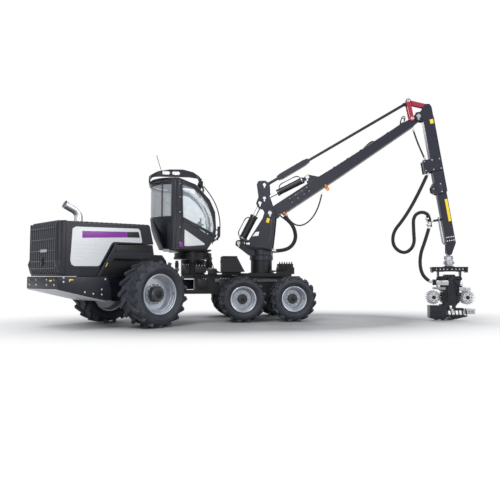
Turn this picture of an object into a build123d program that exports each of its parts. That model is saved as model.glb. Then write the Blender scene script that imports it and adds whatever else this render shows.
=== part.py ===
from build123d import *
from math import atan2, cos, degrees, hypot, radians, sin, tan
import os

os.makedirs("parts", exist_ok=True)

# Wheeled forestry harvester, stored articulated, with its crane part way round and its head hanging.
# Millimetres, +X forward along the front frame, +Y left, +Z up, ground at Z = 0.

# Where the articulation stands, and how far each body is turned in the stored pose.
pivotX = -1902.3
pivotY = 854.8
steerStance = 38.6
slewStance = -20.0
cabStance = 0.0

# Wheels
frontTyreRadius = 585.0
frontTyreWidth = 600.0
frontRimRadius = 318.0
rearTyreRadius = 760.0
rearTyreWidth = 650.0
rearRimRadius = 452.0
halfTrack = 1347.0
rearAxleX = -1958.0
bogieWheelX = (1330.0, 2661.0)
lugHeight = 42.0

# Rear frame and hood
hoodHalfWidth = 660.0
hoodRearX = -4040.0
hoodFrontX = -1850.0
hoodBaseZ = 1165.0
hoodRearTopZ = 2240.0
hoodFrontTopZ = 2365.0
frameHalfWidth = 400.0
movingGap = 6.0
skin = 5.0

# Cab
cabAxisX = 120.0
cabFloorZ = 1880.0
cabHalfWidth = 760.0
cabRoofZ = 3760.0
turntableRadius = 530.0
turntableBaseZ = 1640.0

# Crane, in the plane it works in: distance ahead of the slewing axis, then height.
craneX = 2050.0
boomPivot = (280.0, 2948.0)
boomTip = (4328.0, 5513.0)
liftFoot = (-617.0, 2110.0)
liftEye = (-16.0, 3243.0)
foldEye = (114.0, 3380.0)
linkEye = (115.0, 3763.0)
humpPin = (1319.0, 3948.0)
headPin = (5030.0, 1830.0)
jibLean = 8.5
cheekGap = 10.0
boomHalfWidth = 105.0
rockerPlate = 25.0
postPlate = 35.0

boomRise = degrees(atan2(boomTip[1] - boomPivot[1], boomTip[0] - boomPivot[0]))
boomLength = hypot(boomTip[0] - boomPivot[0], boomTip[1] - boomPivot[1])

machine = Location((pivotX, pivotY, 0))
rearPlace = machine * Location((0, 0, 0), (0, 0, steerStance))
cabPlace = machine * Location((cabAxisX, 0, 0), (0, 0, cabStance))
cranePlace = machine * Location((craneX, 0, 0), (0, 0, slewStance))
boomPlace = cranePlace * Location((boomPivot[0], 0, boomPivot[1]), (0, -boomRise, 0))
jibPlace = cranePlace * Location((boomTip[0], 0, boomTip[1]), (0, 90 - jibLean, 0))
headPlace = cranePlace * Location((headPin[0], 0, headPin[1]))


def along(start, end):
    """Place whose X runs from start to end in the crane's plane."""
    rise = degrees(atan2(end[1] - start[1], end[0] - start[0]))
    return cranePlace * Location((start[0], 0, start[1]), (0, -rise, 0))


def inBoom(point):
    """Crane-plane point as distances along and above the boom's pivot line."""
    across, up = point[0] - boomPivot[0], point[1] - boomPivot[1]
    c, s = cos(radians(boomRise)), sin(radians(boomRise))
    return (across * c + up * s, up * c - across * s)


def fromBoom(point):
    """Distances along and above the pivot line as a crane-plane point."""
    c, s = cos(radians(boomRise)), sin(radians(boomRise))
    return (boomPivot[0] + point[0] * c - point[1] * s, boomPivot[1] + point[0] * s + point[1] * c)


linkTipInBoom = (4790.0, 495.0)
shortFootInBoom = (4603.0, 30.0)
jibLeverInBoom = (5134.0, 91.0)
linkTip = fromBoom(linkTipInBoom)
shortFoot = fromBoom(shortFootInBoom)
jibLever = fromBoom(jibLeverInBoom)


def outline(points):
    """Closed face through the points, on the sketch in hand."""
    Polygon(*points, align=None)


def finish(node, part, place):
    """Put a piece where its body stands and write it."""
    part = part.moved(place)
    part.label = node
    export_step(part, "parts/" + node + ".step")


# Tyres: a turned carcass and two rows of slanted lugs.
def tyre(radius, width, rimRadius, lugs, lean):
    half = width / 2
    crown = radius - lugHeight
    with BuildPart() as body:
        with BuildSketch(Plane.XY):
            outline([
                (rimRadius, -half * 0.70), (rimRadius + 45, -half * 0.86), ((rimRadius + crown) / 2, -half),
                (crown - 60, -half * 0.95), (crown - 12, -half * 0.80), (crown, 0), (crown - 12, half * 0.80),
                (crown - 60, half * 0.95), ((rimRadius + crown) / 2, half), (rimRadius + 45, half * 0.86),
                (rimRadius, half * 0.70)])
        revolve(axis=Axis.Y)
        lugWidth = 2 * 3.1416 * radius / lugs * 0.32
        for side in (-1, 1):
            for turn in range(lugs):
                angle = (turn + 0.25 * side) * 360 / lugs
                spot = Location((0, 0, 0), (0, angle, 0)) * Location((radius - 40, side * half * 0.52, 0), (side * lean, 0, 0))
                with Locations(spot):
                    Box(80, half * 0.98, lugWidth)
        with Locations(Location((0, 0, 0), (90, 0, 0))):
            Cylinder(radius, 2 * width, mode=Mode.INTERSECT)
    return body.part


frontTyre = tyre(frontTyreRadius, frontTyreWidth, frontRimRadius, 16, 38)
rearTyre = tyre(rearTyreRadius, rearTyreWidth, rearRimRadius, 18, 36)


# Rims: a stepped barrel and disc with a planetary hub, open face toward -Y.
def rim(radius, width, hubRadius, hubReach):
    half = width * 0.36
    with BuildPart() as body:
        with BuildSketch(Plane.XY):
            outline([
                (radius + 12, -half - 16), (radius + 12, -half), (radius - 2, -half + 14), (radius - 2, half - 14),
                (radius + 12, half), (radius + 12, half + 16), (radius - 14, half + 16), (radius - 30, half - 30),
                (radius - 60, 40), (hubRadius - 10, 40), (hubRadius - 10, half), (0, half), (0, -hubReach),
                (hubRadius - 40, -hubReach), (hubRadius - 8, -hubReach + 28), (hubRadius, -40), (hubRadius + 60, -40),
                (hubRadius + 60, 5), (radius - 90, 5), (radius - 74, -60), (radius - 34, -half + 60), (radius - 14, -half - 16)])
        revolve(axis=Axis.Y)
        with Locations((0, 0, 0)):
            with BuildSketch(Plane.XZ.offset(40)):
                with PolarLocations(hubRadius + 32, 12):
                    RegularPolygon(15, 6)
            extrude(amount=26)
    return body.part


frontRim = rim(frontRimRadius, frontTyreWidth, 130, 130)
rearRim = rim(rearRimRadius, rearTyreWidth, 185, 190)
turned = Location((0, 0, 0), (0, 0, 180))

frontCentreY = halfTrack - frontTyreWidth / 2
rearCentreY = halfTrack - rearTyreWidth / 2
wheelTable = (
    {"name": "bogie_rear_right", "x": bogieWheelX[0], "y": -frontCentreY, "z": frontTyreRadius, "place": machine, "front": True},
    {"name": "bogie_front_right", "x": bogieWheelX[1], "y": -frontCentreY, "z": frontTyreRadius, "place": machine, "front": True},
    {"name": "bogie_rear_left", "x": bogieWheelX[0], "y": frontCentreY, "z": frontTyreRadius, "place": machine, "front": True},
    {"name": "bogie_front_left", "x": bogieWheelX[1], "y": frontCentreY, "z": frontTyreRadius, "place": machine, "front": True},
    {"name": "rear_right", "x": rearAxleX, "y": -rearCentreY, "z": rearTyreRadius, "place": rearPlace, "front": False},
    {"name": "rear_left", "x": rearAxleX, "y": rearCentreY, "z": rearTyreRadius, "place": rearPlace, "front": False})
for wheel in wheelTable:
    spot = wheel["place"] * Location((wheel["x"], wheel["y"], wheel["z"]))
    if wheel["y"] > 0:
        spot = spot * turned
    finish("tyre_" + wheel["name"], frontTyre if wheel["front"] else rearTyre, spot)
    finish("rim_" + wheel["name"], frontRim if wheel["front"] else rearRim, spot)

bogieInner = halfTrack - frontTyreWidth - 150

# Front frame: articulation fork, cab pedestal, crane bed, tool box.
with BuildPart() as frontFrame:
    with BuildSketch(Plane.XZ):
        outline([(-190, 700), (620, 700), (980, 640), (2900, 640), (3080, 760), (3080, 1180), (1300, 1180), (1000, 1230),
                 (-190, 1230), (-190, 1110), (160, 1110), (160, 800), (-190, 800)])
    extrude(amount=frameHalfWidth - 60, both=True)
    with Locations((2050, 0, 1215)):
        Box(1500, 1000, 90)
    with Locations((craneX, 0, 1440)):
        Cylinder(300, 370)
    with Locations((2680, -250, 1330)):
        Box(420, 420, 190)
    with BuildSketch(Plane.XZ.offset(560)):
        outline([(820, 1290), (1420, 1290), (1210, 1690), (820, 1690)])
    extrude(amount=380)
    with Locations((1120, -500, 1250)):
        Box(500, 240, 90)
    with Locations((cabAxisX, 0, 1420)):
        Cylinder(330, 400)
    with Locations((cabAxisX, 0, turntableBaseZ + 30)):
        Cylinder(turntableRadius, 60)
    with Locations((1995, 0, 700)):
        Box(340, 2 * (bogieInner - movingGap), 340)
finish("front_frame", frontFrame.part, machine)

# Bogie boxes between the wheels and the frame, one each side.
with BuildPart() as bogies:
    with BuildSketch(Plane.XZ.offset(bogieInner)):
        outline([(1150, 500), (1250, 420), (2740, 420), (2840, 500), (2840, 660), (2740, 740), (2250, 830), (1740, 830),
                 (1250, 740), (1150, 660)])
    extrude(amount=130)
    for x in bogieWheelX:
        with Locations(Location((x, -(bogieInner + 65), frontTyreRadius), (90, 0, 0))):
            Cylinder(120, 240)
    mirror(about=Plane.XZ)
finish("bogie_boxes", bogies.part, machine)

# Rear frame: articulation tongue, rails, axle, bumper and belly plate.
with BuildPart() as rearFrame:
    with BuildSketch(Plane.XZ):
        outline([(-560, 760), (-900, 700), (-3300, 700), (-3950, 900), (-3950, 1130), (-900, 1160), (-560, 1130)])
    extrude(amount=frameHalfWidth - 40, both=True)
    with Locations((-320, 0, 955)):
        Box(640, 260, 250)
    with Locations((0, 0, 955)):
        Cylinder(140, 270)
    with Locations(Location((rearAxleX, 0, rearTyreRadius), (90, 0, 0))):
        Cylinder(150, 2 * (halfTrack - rearTyreWidth - 40))
    with BuildSketch(Plane.XZ):
        outline([(-4060, 915), (-3950, 900), (-3000, 640), (-2850, 640), (-2850, 900), (-2990, 1150), (-4060, 1150)])
    extrude(amount=hoodHalfWidth + 10, both=True)
finish("rear_frame", rearFrame.part, rearPlace)

# Engine: a plain block, and the radiator behind the grille.
with BuildPart() as engine:
    with Locations((-2750, 0, 1560)):
        Box(1250, 700, 760)
    with Locations((-3650, 0, 1600)):
        Box(260, 1050, 780)
finish("engine", engine.part, rearPlace)

# Hood: hollow shell with a sloping top, open below and behind the grille.
hoodProfile = [(hoodRearX, hoodBaseZ), (hoodRearX, hoodRearTopZ), (hoodFrontX, hoodFrontTopZ), (hoodFrontX + 220, 1640),
               (hoodFrontX - 150, 1560), (-2750, 1560), (-3060, hoodBaseZ)]
with BuildPart() as hood:
    with BuildSketch(Plane.XZ):
        outline(hoodProfile)
    extrude(amount=hoodHalfWidth, both=True)
    fillet(hood.edges().filter_by(Axis.X, tolerance=8).group_by(Axis.Z)[-1], radius=60)
    with BuildSketch(Plane.XZ):
        outline([(hoodRearX - 50, hoodBaseZ - 50), (hoodRearX - 50, hoodRearTopZ - 140), (hoodRearX + 40, hoodRearTopZ - 60),
                 (hoodFrontX - 40, hoodFrontTopZ - 45), (hoodFrontX + 170, 1690), (hoodFrontX + 150, 1500), (-3060, hoodBaseZ - 50)])
    extrude(amount=hoodHalfWidth - 40, both=True, mode=Mode.SUBTRACT)
    for y in (-640, 640):
        with Locations(Location((hoodRearX + 12, y, hoodBaseZ + 20), (90, 0, 0))):
            Cylinder(24, 40)
finish("hood", hood.part, rearPlace)

# Side panels of the hood, one each side.
with BuildPart() as sidePanels:
    with BuildSketch(Plane.XZ.offset(hoodHalfWidth)) as panel:
        outline([(-3850, 1400), (-3870, 2110), (-2180, 2190), (-2110, 1910), (-2830, 1890), (-3170, 1400)])
        fillet(panel.vertices(), radius=60)
    extrude(amount=14)
    mirror(about=Plane.XZ)
finish("hood_panels", sidePanels.part, rearPlace)

# Grille: upright slats in a frame.
grilleX = hoodRearX - 2
with BuildPart() as grille:
    with Locations((grilleX + 22, 0, 1640)):
        Box(20, 2 * hoodHalfWidth - 110, 870)
    for slat in range(23):
        with Locations((grilleX + 10, (slat - 11) * 52, 1640)):
            Box(40, 16, 860)
    for z in (1215, 1640, 1730, 2065):
        with Locations((grilleX + 8, 0, z)):
            Box(44, 2 * hoodHalfWidth - 100, 26)
    with Locations((grilleX - 18, -60, 1730)):
        Box(12, 300, 60)
finish("grille", grille.part, rearPlace)

# Exhaust pipe, bent backward.
exhaustX = -3300
with BuildPart() as exhaust:
    with BuildLine(Plane.XZ) as pipeRun:
        FilletPolyline((exhaustX, 2250), (exhaustX, 2620), (exhaustX - 330, 2760), radius=190)
    with BuildSketch(Plane(origin=(exhaustX, 0, 2250), z_dir=(0, 0, 1))):
        Circle(95)
    sweep()
    with BuildLine(Plane.XZ) as boreRun:
        Line((exhaustX - 150, 2683.7), (exhaustX - 340, 2764.3))
    with BuildSketch(Plane(origin=(exhaustX - 150, 0, 2683.7), z_dir=(-190, 0, 80.6))):
        Circle(86)
    sweep(path=boreRun.line, mode=Mode.SUBTRACT)
finish("exhaust", exhaust.part, rearPlace)

# Cab: turning base, hollow shell with window openings, round back.
cabSide = [(-300, cabFloorZ), (330, cabFloorZ), (530, 2190), (560, 2430), (530, 2870), (390, 3190), (20, 3590), (-420, cabRoofZ),
           (-1170, cabRoofZ), (-1170, 2700), (-820, cabFloorZ)]
cabInner = [(-300, cabFloorZ + 40), (310, cabFloorZ + 40), (485, 2205), (515, 2430), (487, 2855), (360, 3155), (5, 3545),
            (-425, cabRoofZ - 60), (-1110, cabRoofZ - 60), (-1110, 2710), (-790, cabFloorZ + 40)]
sideWindow = [(-395, 3640), (-420, 2790), (-330, 2700), (330, 2270), (470, 2300), (490, 2440), (468, 2840), (345, 3130),
              (0, 3510), (-390, 3650)]
rearWindowLow, rearWindowHigh = 2745.0, 3600.0
with BuildPart() as cabShell:
    with BuildSketch(Plane.XZ):
        outline(cabSide)
    extrude(amount=cabHalfWidth, both=True)
    with BuildSketch(Plane.XY.offset(cabFloorZ)):
        with BuildLine():
            l1 = Line((600, -cabHalfWidth), (-560, -cabHalfWidth))
            l2 = ThreePointArc((-560, -cabHalfWidth), (-1170, 0), (-560, cabHalfWidth))
            l3 = Line((-560, cabHalfWidth), (600, cabHalfWidth))
            l4 = Line((600, cabHalfWidth), (600, -cabHalfWidth))
        make_face()
    extrude(amount=2000, mode=Mode.INTERSECT)
    with BuildSketch(Plane.XZ):
        outline(cabInner)
    extrude(amount=cabHalfWidth - 50, both=True, mode=Mode.SUBTRACT)
    with BuildSketch(Plane.XZ.offset(-cabHalfWidth - 20)):
        outline(sideWindow)
    extrude(amount=2 * cabHalfWidth + 40, mode=Mode.SUBTRACT)
    with BuildSketch(Plane.YZ.offset(-100)):
        with Locations((0, 2890)):
            Rectangle(2 * cabHalfWidth - 170, 1560)
    extrude(amount=900, mode=Mode.SUBTRACT)
    with BuildSketch(Plane.XY.offset(3000)):
        with Locations((130, 0)):
            Rectangle(980, 2 * cabHalfWidth - 170)
    extrude(amount=900, mode=Mode.SUBTRACT)
    with Locations((-920, 0, (rearWindowLow + rearWindowHigh) / 2)):
        Box(600, 2400, rearWindowHigh - rearWindowLow, mode=Mode.SUBTRACT)
finish("cab_shell", cabShell.part, cabPlace)

# Turntable under the cab.
with BuildPart() as turntable:
    with Locations((0, 0, turntableBaseZ + 60 + movingGap + 50)):
        Cylinder(turntableRadius - 20, 100)
    with Locations((0, 0, (turntableBaseZ + 160 + cabFloorZ - 20) / 2)):
        Cylinder(420, cabFloorZ - 20 - turntableBaseZ - 160 + 12)
    with Locations((-100, 0, cabFloorZ - 14)):
        Box(1100, 1300, 27.9)
finish("turntable", turntable.part, cabPlace)

# Roof guard: an arched band round the roof with oval lamp openings, the front lamp rail and the aerial.
lampOpenings = (-760.0, -500.0)
with BuildPart() as roofGuard:
    with BuildSketch(Plane.XZ):
        outline([(-1215, 3680), (-1205, 3800), (-960, 3905), (-660, 3960), (-320, 3970), (-60, 3910), (130, 3800),
                 (270, 3470), (228, 3450), (60, 3745), (-160, 3770), (-1100, 3762)])
    extrude(amount=785, both=True)
    with BuildSketch(Plane.XY.offset(3300)):
        with Locations((-470, 0)):
            RectangleRounded(1480, 1570, 330)
    extrude(amount=900, mode=Mode.INTERSECT)
    with BuildSketch(Plane.XY.offset(3300)):
        with Locations((-470, 0)):
            RectangleRounded(1410, 1500, 300)
    extrude(amount=900, mode=Mode.SUBTRACT)
    for x in lampOpenings:
        with BuildSketch(Plane.XZ.offset(-900)):
            with Locations((x, 3868)):
                SlotOverall(200, 96)
        extrude(amount=1800, mode=Mode.SUBTRACT)
    with BuildSketch(Plane.YZ.offset(-1300)):
        with Locations((-480, 3770), (480, 3770)):
            SlotOverall(300, 60)
    extrude(amount=400, mode=Mode.SUBTRACT)
    with Locations((150, 0, 3745)):
        Box(60, 1440, 30)
    with Locations((-870, -740, 3880)):
        Cylinder(22, 90)
    with Locations(Location((-940, -740, 4115), (0, -17, 0))):
        Cylinder(8, 440)
finish("roof_guard", roofGuard.part, cabPlace)

with BuildPart() as roofLamps:
    for x in lampOpenings:
        for y in (-706, 706):
            with Locations(Location((x, y, 3868), (90, 0, 0))):
                Cylinder(44, 84)
    for y in (-560, -340, -115, 115, 340, 560):
        with Locations(Location((170, y, 3675), (0, 90, 0))):
            Cylinder(54, 90)
    for y in (-1, 1):
        with Locations((636, y * 712, 2350)):
            Box(70, 56, 280)
        with Locations((592, y * 712, 2400)):
            Box(60, 30, 30)
finish("roof_lamps", roofLamps.part, cabPlace)

# Window panes.
with BuildPart() as glass:
    with BuildSketch(Plane.XZ.offset(cabHalfWidth - 24)):
        outline([(-425, 3600), (-425, 2760), (-330, 2680), (340, 2240), (500, 2290), (510, 2440), (480, 2860), (360, 3150), (10, 3540)])
    extrude(amount=6)
finish("window_right", glass.part, cabPlace)

with BuildPart() as frontGlass:
    with BuildSketch(Plane.XZ):
        outline([(505, 2115), (545, 2200), (575, 2430), (545, 2880), (400, 3205), (60, 3575), (54, 3569), (394, 3200), (538, 2876),
                 (568, 2430), (538, 2201), (499, 2117)])
    extrude(amount=cabHalfWidth - 70, both=True)
finish("windscreen", frontGlass.part, cabPlace)

with BuildPart() as rearGlass:
    with BuildSketch(Plane.XY.offset(rearWindowLow - 3)):
        with BuildLine():
            outer = ThreePointArc((-612, -750), (-1160, 0), (-612, 750))
            step = Line((-612, 750), (-612, 743))
            inner = ThreePointArc((-612, 743), (-1153, 0), (-612, -743))
            close = Line((-612, -743), (-612, -750))
        make_face()
    extrude(amount=rearWindowHigh - rearWindowLow + 6)
finish("rear_window", rearGlass.part, cabPlace)

# Door on the left side, hinged behind the window.
doorY = cabHalfWidth + movingGap
doorHingeX = -430.0
doorHingeZ = (2150.0, 2800.0, 3450.0)
with BuildPart() as door:
    with BuildSketch(Plane.XZ.offset(-doorY)):
        outline([(-430, 3620), (-430, 1960), (330, 1960), (540, 2190), (565, 2430), (535, 2870), (395, 3190), (20, 3590)])
        outline([(-380, 3560), (-380, 2060), (300, 2060), (490, 2230), (510, 2430), (480, 2850), (350, 3150), (0, 3520)])
    extrude(amount=-30)
    with BuildSketch(Plane.XZ.offset(-doorY)):
        outline([(-380, 3560), (-380, 2060), (300, 2060), (490, 2230), (510, 2430), (480, 2850), (350, 3150), (0, 3520)])
    extrude(amount=-30, mode=Mode.SUBTRACT)
    with Locations((450, doorY + 40, 2300)):
        Box(30, 30, 220)
    for z in doorHingeZ:
        with Locations((doorHingeX, doorY + 29, z)):
            Cylinder(14, 120)
finish("door", door.part, cabPlace)
with BuildPart() as doorGlass:
    with BuildSketch(Plane.XZ.offset(-doorY - 12)):
        outline([(-385, 3565), (-385, 2055), (300, 2055), (494, 2230), (514, 2430), (484, 2852), (354, 3153), (0, 3526)])
    extrude(amount=-6)
finish("door_glass", doorGlass.part, cabPlace)

# Seat and the two armrest consoles.
with BuildPart() as seat:
    with Locations((-180, 0, 2010)):
        Cylinder(110, 180)
    with Locations((-160, 0, 2320)):
        Box(520, 500, 140)
    with BuildSketch(Plane.XZ):
        outline([(-400, 2250), (-560, 3080), (-440, 3100), (-290, 2380)])
    extrude(amount=240, both=True)
    with Locations((-180, 0, 2180)):
        Box(300, 300, 180)
finish("seat", seat.part, cabPlace)
with BuildPart() as consoles:
    for y in (-370, 370):
        with Locations((0, y, 2560)):
            Box(520, 150, 90)
        with Locations((-260, y * 0.9, 2430)):
            Box(80, 90, 200)
        with Locations((170, y, 2650)):
            Cylinder(28, 120)
    with Locations((330, 0, 2230)):
        Box(60, 300, 340)
    with Locations((110, 0, 1970)):
        Box(300, 420, 90)
finish("consoles", consoles.part, cabPlace)

# Crane post with its two cheeks and the foot lugs of the lift cylinder.
rockerY = boomHalfWidth + cheekGap
cheekY = rockerY + rockerPlate + cheekGap
with BuildPart() as post:
    with Locations((0, 0, 1625 + movingGap + 60)):
        Cylinder(330, 120)
    with Locations((0, 0, 1845)):
        Cylinder(250, 130)
    with BuildSketch(Plane.XZ):
        outline([(-720, 2060), (-330, 1760), (300, 1760), (330, 1960), (-100, 2230), (-330, 2060), (-540, 2110), (-600, 2200), (-690, 2180)])
    extrude(amount=cheekY + postPlate, both=True)
    with BuildSketch(Plane.XZ):
        outline([(-800, 1985), (-490, 1985), (-430, 2330), (-800, 2330)])
    extrude(amount=60, both=True, mode=Mode.SUBTRACT)
    with BuildSketch(Plane.XZ.offset(cheekY)) as cheek:
        outline([(-330, 1900), (320, 1900), (380, 2400), (430, 2900), (380, 3060), (250, 3110), (140, 3040), (60, 2800), (-330, 2200)])
        fillet(cheek.vertices().sort_by(Axis.Y)[-5:], radius=60)
    extrude(amount=postPlate)
    with Locations(Location((boomPivot[0], -(cheekY + postPlate + 15), boomPivot[1]), (90, 0, 0))):
        Cylinder(75, 30)
    with Locations(Location((liftFoot[0], -(cheekY + postPlate + 10), liftFoot[1]), (90, 0, 0))):
        Cylinder(90, 20)
    mirror(about=Plane.XZ)
finish("crane_post", post.part, cranePlace)

# Rocker: two plates that the lift cylinder pushes.
with BuildPart() as rocker:
    with BuildSketch(Plane.XZ.offset(rockerY)) as rockerSide:
        outline([(160, 2840), (360, 2810), (420, 2960), (330, 3180), (250, 3420), (230, 3800), (150, 3880), (-60, 3880),
                 (-110, 3780), (-60, 3420), (-130, 3240), (-80, 3120), (60, 3080)])
        fillet(rockerSide.vertices(), radius=45)
    extrude(amount=rockerPlate)
    mirror(about=Plane.XZ)
    with Locations(Location((20, 0, 3610), (90, 0, 0))):
        Cylinder(40, 2 * rockerY + 10)
finish("rocker", rocker.part, cranePlace)

# Cylinders: barrel and rod, each modelled along its own line.
def barrel(length, radius, eyeRadius, eyeWidth, bore):
    neck = eyeRadius + 50
    with BuildPart() as body:
        with Locations(Location((length / 2 + neck / 2, 0, 0), (0, 90, 0))):
            Cylinder(radius, length - neck)
        with Locations((neck / 2, 0, 0)):
            Box(neck + 20, eyeWidth, eyeRadius * 1.3)
        with Locations(Location((length - 10, 0, 0), (0, 90, 0))):
            Cylinder(radius + 10, 60)
        with Locations(Location((0, 0, 0), (90, 0, 0))):
            Cylinder(eyeRadius, eyeWidth)
        with Locations(Location(((length + neck) / 2 + 40, 0, 0), (0, 90, 0))):
            Cylinder(bore, length - neck, mode=Mode.SUBTRACT)
    return body.part


def rod(length, radius, eyeRadius, eyeWidth):
    with BuildPart() as body:
        with Locations(Location((-length / 2, 0, 0), (0, 90, 0))):
            Cylinder(radius, length)
        with Locations(Location((0, 0, 0), (90, 0, 0))):
            Cylinder(eyeRadius, eyeWidth)
    return body.part


liftLine = hypot(liftEye[0] - liftFoot[0], liftEye[1] - liftFoot[1])
finish("lift_barrel", barrel(880, 105, 80, 100, 58 + movingGap), along(liftFoot, liftEye))
finish("lift_rod", rod(liftLine - 350, 58, 75, 90), along(liftFoot, liftEye) * Location((liftLine, 0, 0)))
foldLine = hypot(humpPin[0] - foldEye[0], humpPin[1] - foldEye[1])
finish("fold_barrel", barrel(930, 92, 75, 90, 50 + movingGap), along(humpPin, foldEye))
finish("fold_rod", rod(foldLine - 330, 50, 70, 90), along(humpPin, foldEye) * Location((foldLine, 0, 0)))

# Lifting eyes, and the clamp of the thick hose on the boom's side.
liftingEyeU = (330.0, 1700.0)
liftingEyeDrop = 275.0
liftingEyeBore = 24.0
liftingEyePlate = 30.0
hoseClampU, hoseClampV = inBoom((560.0, 2905.0))

# Main boom: tapered box, base eye, hump lugs, tip fork and lifting hooks, along its pivot line.
humpInBoom = inBoom(humpPin)
with BuildPart() as boom:
    with BuildSketch(Plane.XZ) as boomSide:
        outline([(-120, -60), (0, -130), (200, -190), (460, -215), (2150, -205), (4560, -150), (4640, -110), (4640, 40),
                 (4460, 70), (2150, 95), (1500, 130), (300, 135), (0, 130), (-110, 70)])
    extrude(amount=boomHalfWidth, both=True)
    with Locations(Location((boomLength, 0, 0), (90, 0, 0))):
        Cylinder(110, 2 * 60)
    with BuildSketch(Plane.XZ):
        outline([(4600, -130), (4800, -110), (4890, 0), (4800, 100), (4600, 60)])
    extrude(amount=60, both=True)
    with BuildSketch(Plane.XZ.offset(57)) as hump:
        outline([(1300, 100), (1372, humpInBoom[1] + 40), (1480, humpInBoom[1] + 40), (1700, 100)])
        fillet(hump.vertices().sort_by(Axis.Y)[-2:], radius=40)
    extrude(amount=35)
    mirror(about=Plane.XZ)
    with Locations((hoseClampU - 95, -121, hoseClampV)):
        Box(90, 42, 90)
finish("boom", boom.part, boomPlace)

# Lifting eyes under the boom.
with BuildPart() as liftingEyes:
    for u in liftingEyeU:
        with BuildSketch(Plane.XZ.offset(-liftingEyePlate / 2)):
            outline([(u - 70, -175), (u + 70, -175), (u + 38, -275), (u - 38, -275)])
            with Locations((u, -liftingEyeDrop)):
                Circle(48)
            with Locations((u, -liftingEyeDrop)):
                Circle(liftingEyeBore, mode=Mode.SUBTRACT)
        extrude(amount=liftingEyePlate)
finish("lifting_eyes", liftingEyes.part, boomPlace)

# Long link: rod end, deeper section and tube down to the jib's linkage.
linkLine = hypot(linkTip[0] - linkEye[0], linkTip[1] - linkEye[1])
with BuildPart() as longLink:
    with Locations(Location((0, 0, 0), (90, 0, 0))):
        Cylinder(65, 90)
    with Locations(Location((260, 0, 0), (0, 90, 0))):
        Cylinder(42, 420)
    with BuildSketch(Plane.XZ):
        outline([(420, -60), (520, -85), (1250, -80), (1400, -55), (1400, 55), (1250, 75), (520, 75), (420, 55)])
    extrude(amount=70, both=True)
    with Locations(Location(((linkLine + 1350) / 2, 0, 0), (0, 90, 0))):
        Cylinder(38, linkLine - 1350)
    with Locations(Location((linkLine, 0, 0), (90, 0, 0))):
        Cylinder(70, 80)
finish("long_link", longLink.part, along(linkEye, linkTip))

# Short link on the boom and upper link to the jib.
def pairedLink(length, inner, plate, radius, boss):
    with BuildPart() as body:
        with BuildSketch(Plane.XZ.offset(inner)):
            with Locations((0, 0), (length, 0)):
                Circle(radius)
            with Locations((length / 2, 0)):
                Rectangle(length, radius * 1.5)
        extrude(amount=plate)
        for x in (0, length):
            with Locations(Location((x, -(inner + plate + boss / 2), 0), (90, 0, 0))):
                Cylinder(radius * 0.55, boss)
        mirror(about=Plane.XZ)
    return body.part


shortLength = hypot(linkTip[0] - shortFoot[0], linkTip[1] - shortFoot[1])
upperLength = hypot(jibLever[0] - linkTip[0], jibLever[1] - linkTip[1])
finish("short_link", pairedLink(shortLength, boomHalfWidth + movingGap, 26, 70, 16), along(shortFoot, linkTip))
finish("upper_link", pairedLink(upperLength, 46, 18, 72, 2), along(linkTip, jibLever))

# Jib: outer box with its pivot plates, along its own length from the pivot.
jibNear, jibFar = 92.0, 372.0
jibMouth = 2160.0
jibHalfWidth = 125.0
jibWall = 14.0
with BuildPart() as jib:
    with Locations(((jibMouth + 120) / 2, 0, 0)):
        with Locations((0, 0, (jibNear + jibFar) / 2)):
            Box(jibMouth - 120, 2 * jibHalfWidth, jibFar - jibNear)
    with Locations((1100 + 400, 0, (jibNear + jibFar) / 2)):
        Box(3000, 2 * (jibHalfWidth - jibWall), jibFar - jibNear - 2 * jibWall, mode=Mode.SUBTRACT)
    with BuildSketch(Plane.XZ.offset(boomHalfWidth - 35)) as jibCheek:
        outline([(-110, -60), (-110, 60), (-290, 230), (-270, 330), (-180, 372), (148, 372), (148, 60), (110, -60), (30, -110)])
    extrude(amount=24)
    with Locations((1400, -jibHalfWidth - 20, 120)):
        Box(330, 40, 480)
    mirror(about=Plane.XZ)
    with Locations((1400, 0, -80)):
        Box(330, 2 * jibHalfWidth + 80, 40)
    with Locations((2030, 0, 60)):
        Box(260, 180, 60)
    with Locations((120, 0, 232)):
        Box(60, 2 * jibHalfWidth, 280)
finish("jib", jib.part, jibPlace)

# Extension beam sliding in the jib, with the head's fork.
extensionStart = 760.0
extensionEnd = 3560.0
headPinU, headPinV = 3752.0, 154.0
with BuildPart() as extension:
    with Locations(((extensionStart + extensionEnd) / 2, 0, (jibNear + jibFar) / 2)):
        Box(extensionEnd - extensionStart, 2 * (jibHalfWidth - jibWall - movingGap), jibFar - jibNear - 2 * jibWall - 2 * movingGap)
    with BuildSketch(Plane.XZ.offset(62)) as forkSide:
        outline([(3400, 115), (3400, 350), (3560, 350), (3840, 200), (3840, 110), (3780, 80), (3700, 90), (3560, 115)])
    extrude(amount=28)
    mirror(about=Plane.XZ)
    with Locations((2876, -22, -45)):
        Box(60, 26, 310)
    with Locations((2876, -22, -205)):
        Box(300, 16, 120)
    with Locations((3180, jibHalfWidth - 5, 160)):
        Cylinder(20, 60)
finish("extension", extension.part, jibPlace)

# Hanging pair of the head: tip link, then the rotator.
with BuildPart() as tipLink:
    with Locations(Location((0, 0, 0), (90, 0, 0))):
        Cylinder(52, 100)
    with Locations((0, 0, -90)):
        Box(90, 90, 130)
    with Locations(Location((0, 0, -165), (0, 90, 0))):
        Cylinder(52, 110)
finish("tip_link", tipLink.part, headPlace)
with BuildPart() as rotator:
    for x in (-78, 78):
        with Locations((x, 0, -190)):
            Box(36, 110, 150)
    with Locations((0, 0, -300)):
        Cylinder(120, 90)
    with Locations((0, 0, -350)):
        Cylinder(95, 40)
finish("rotator", rotator.part, headPlace)

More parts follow.
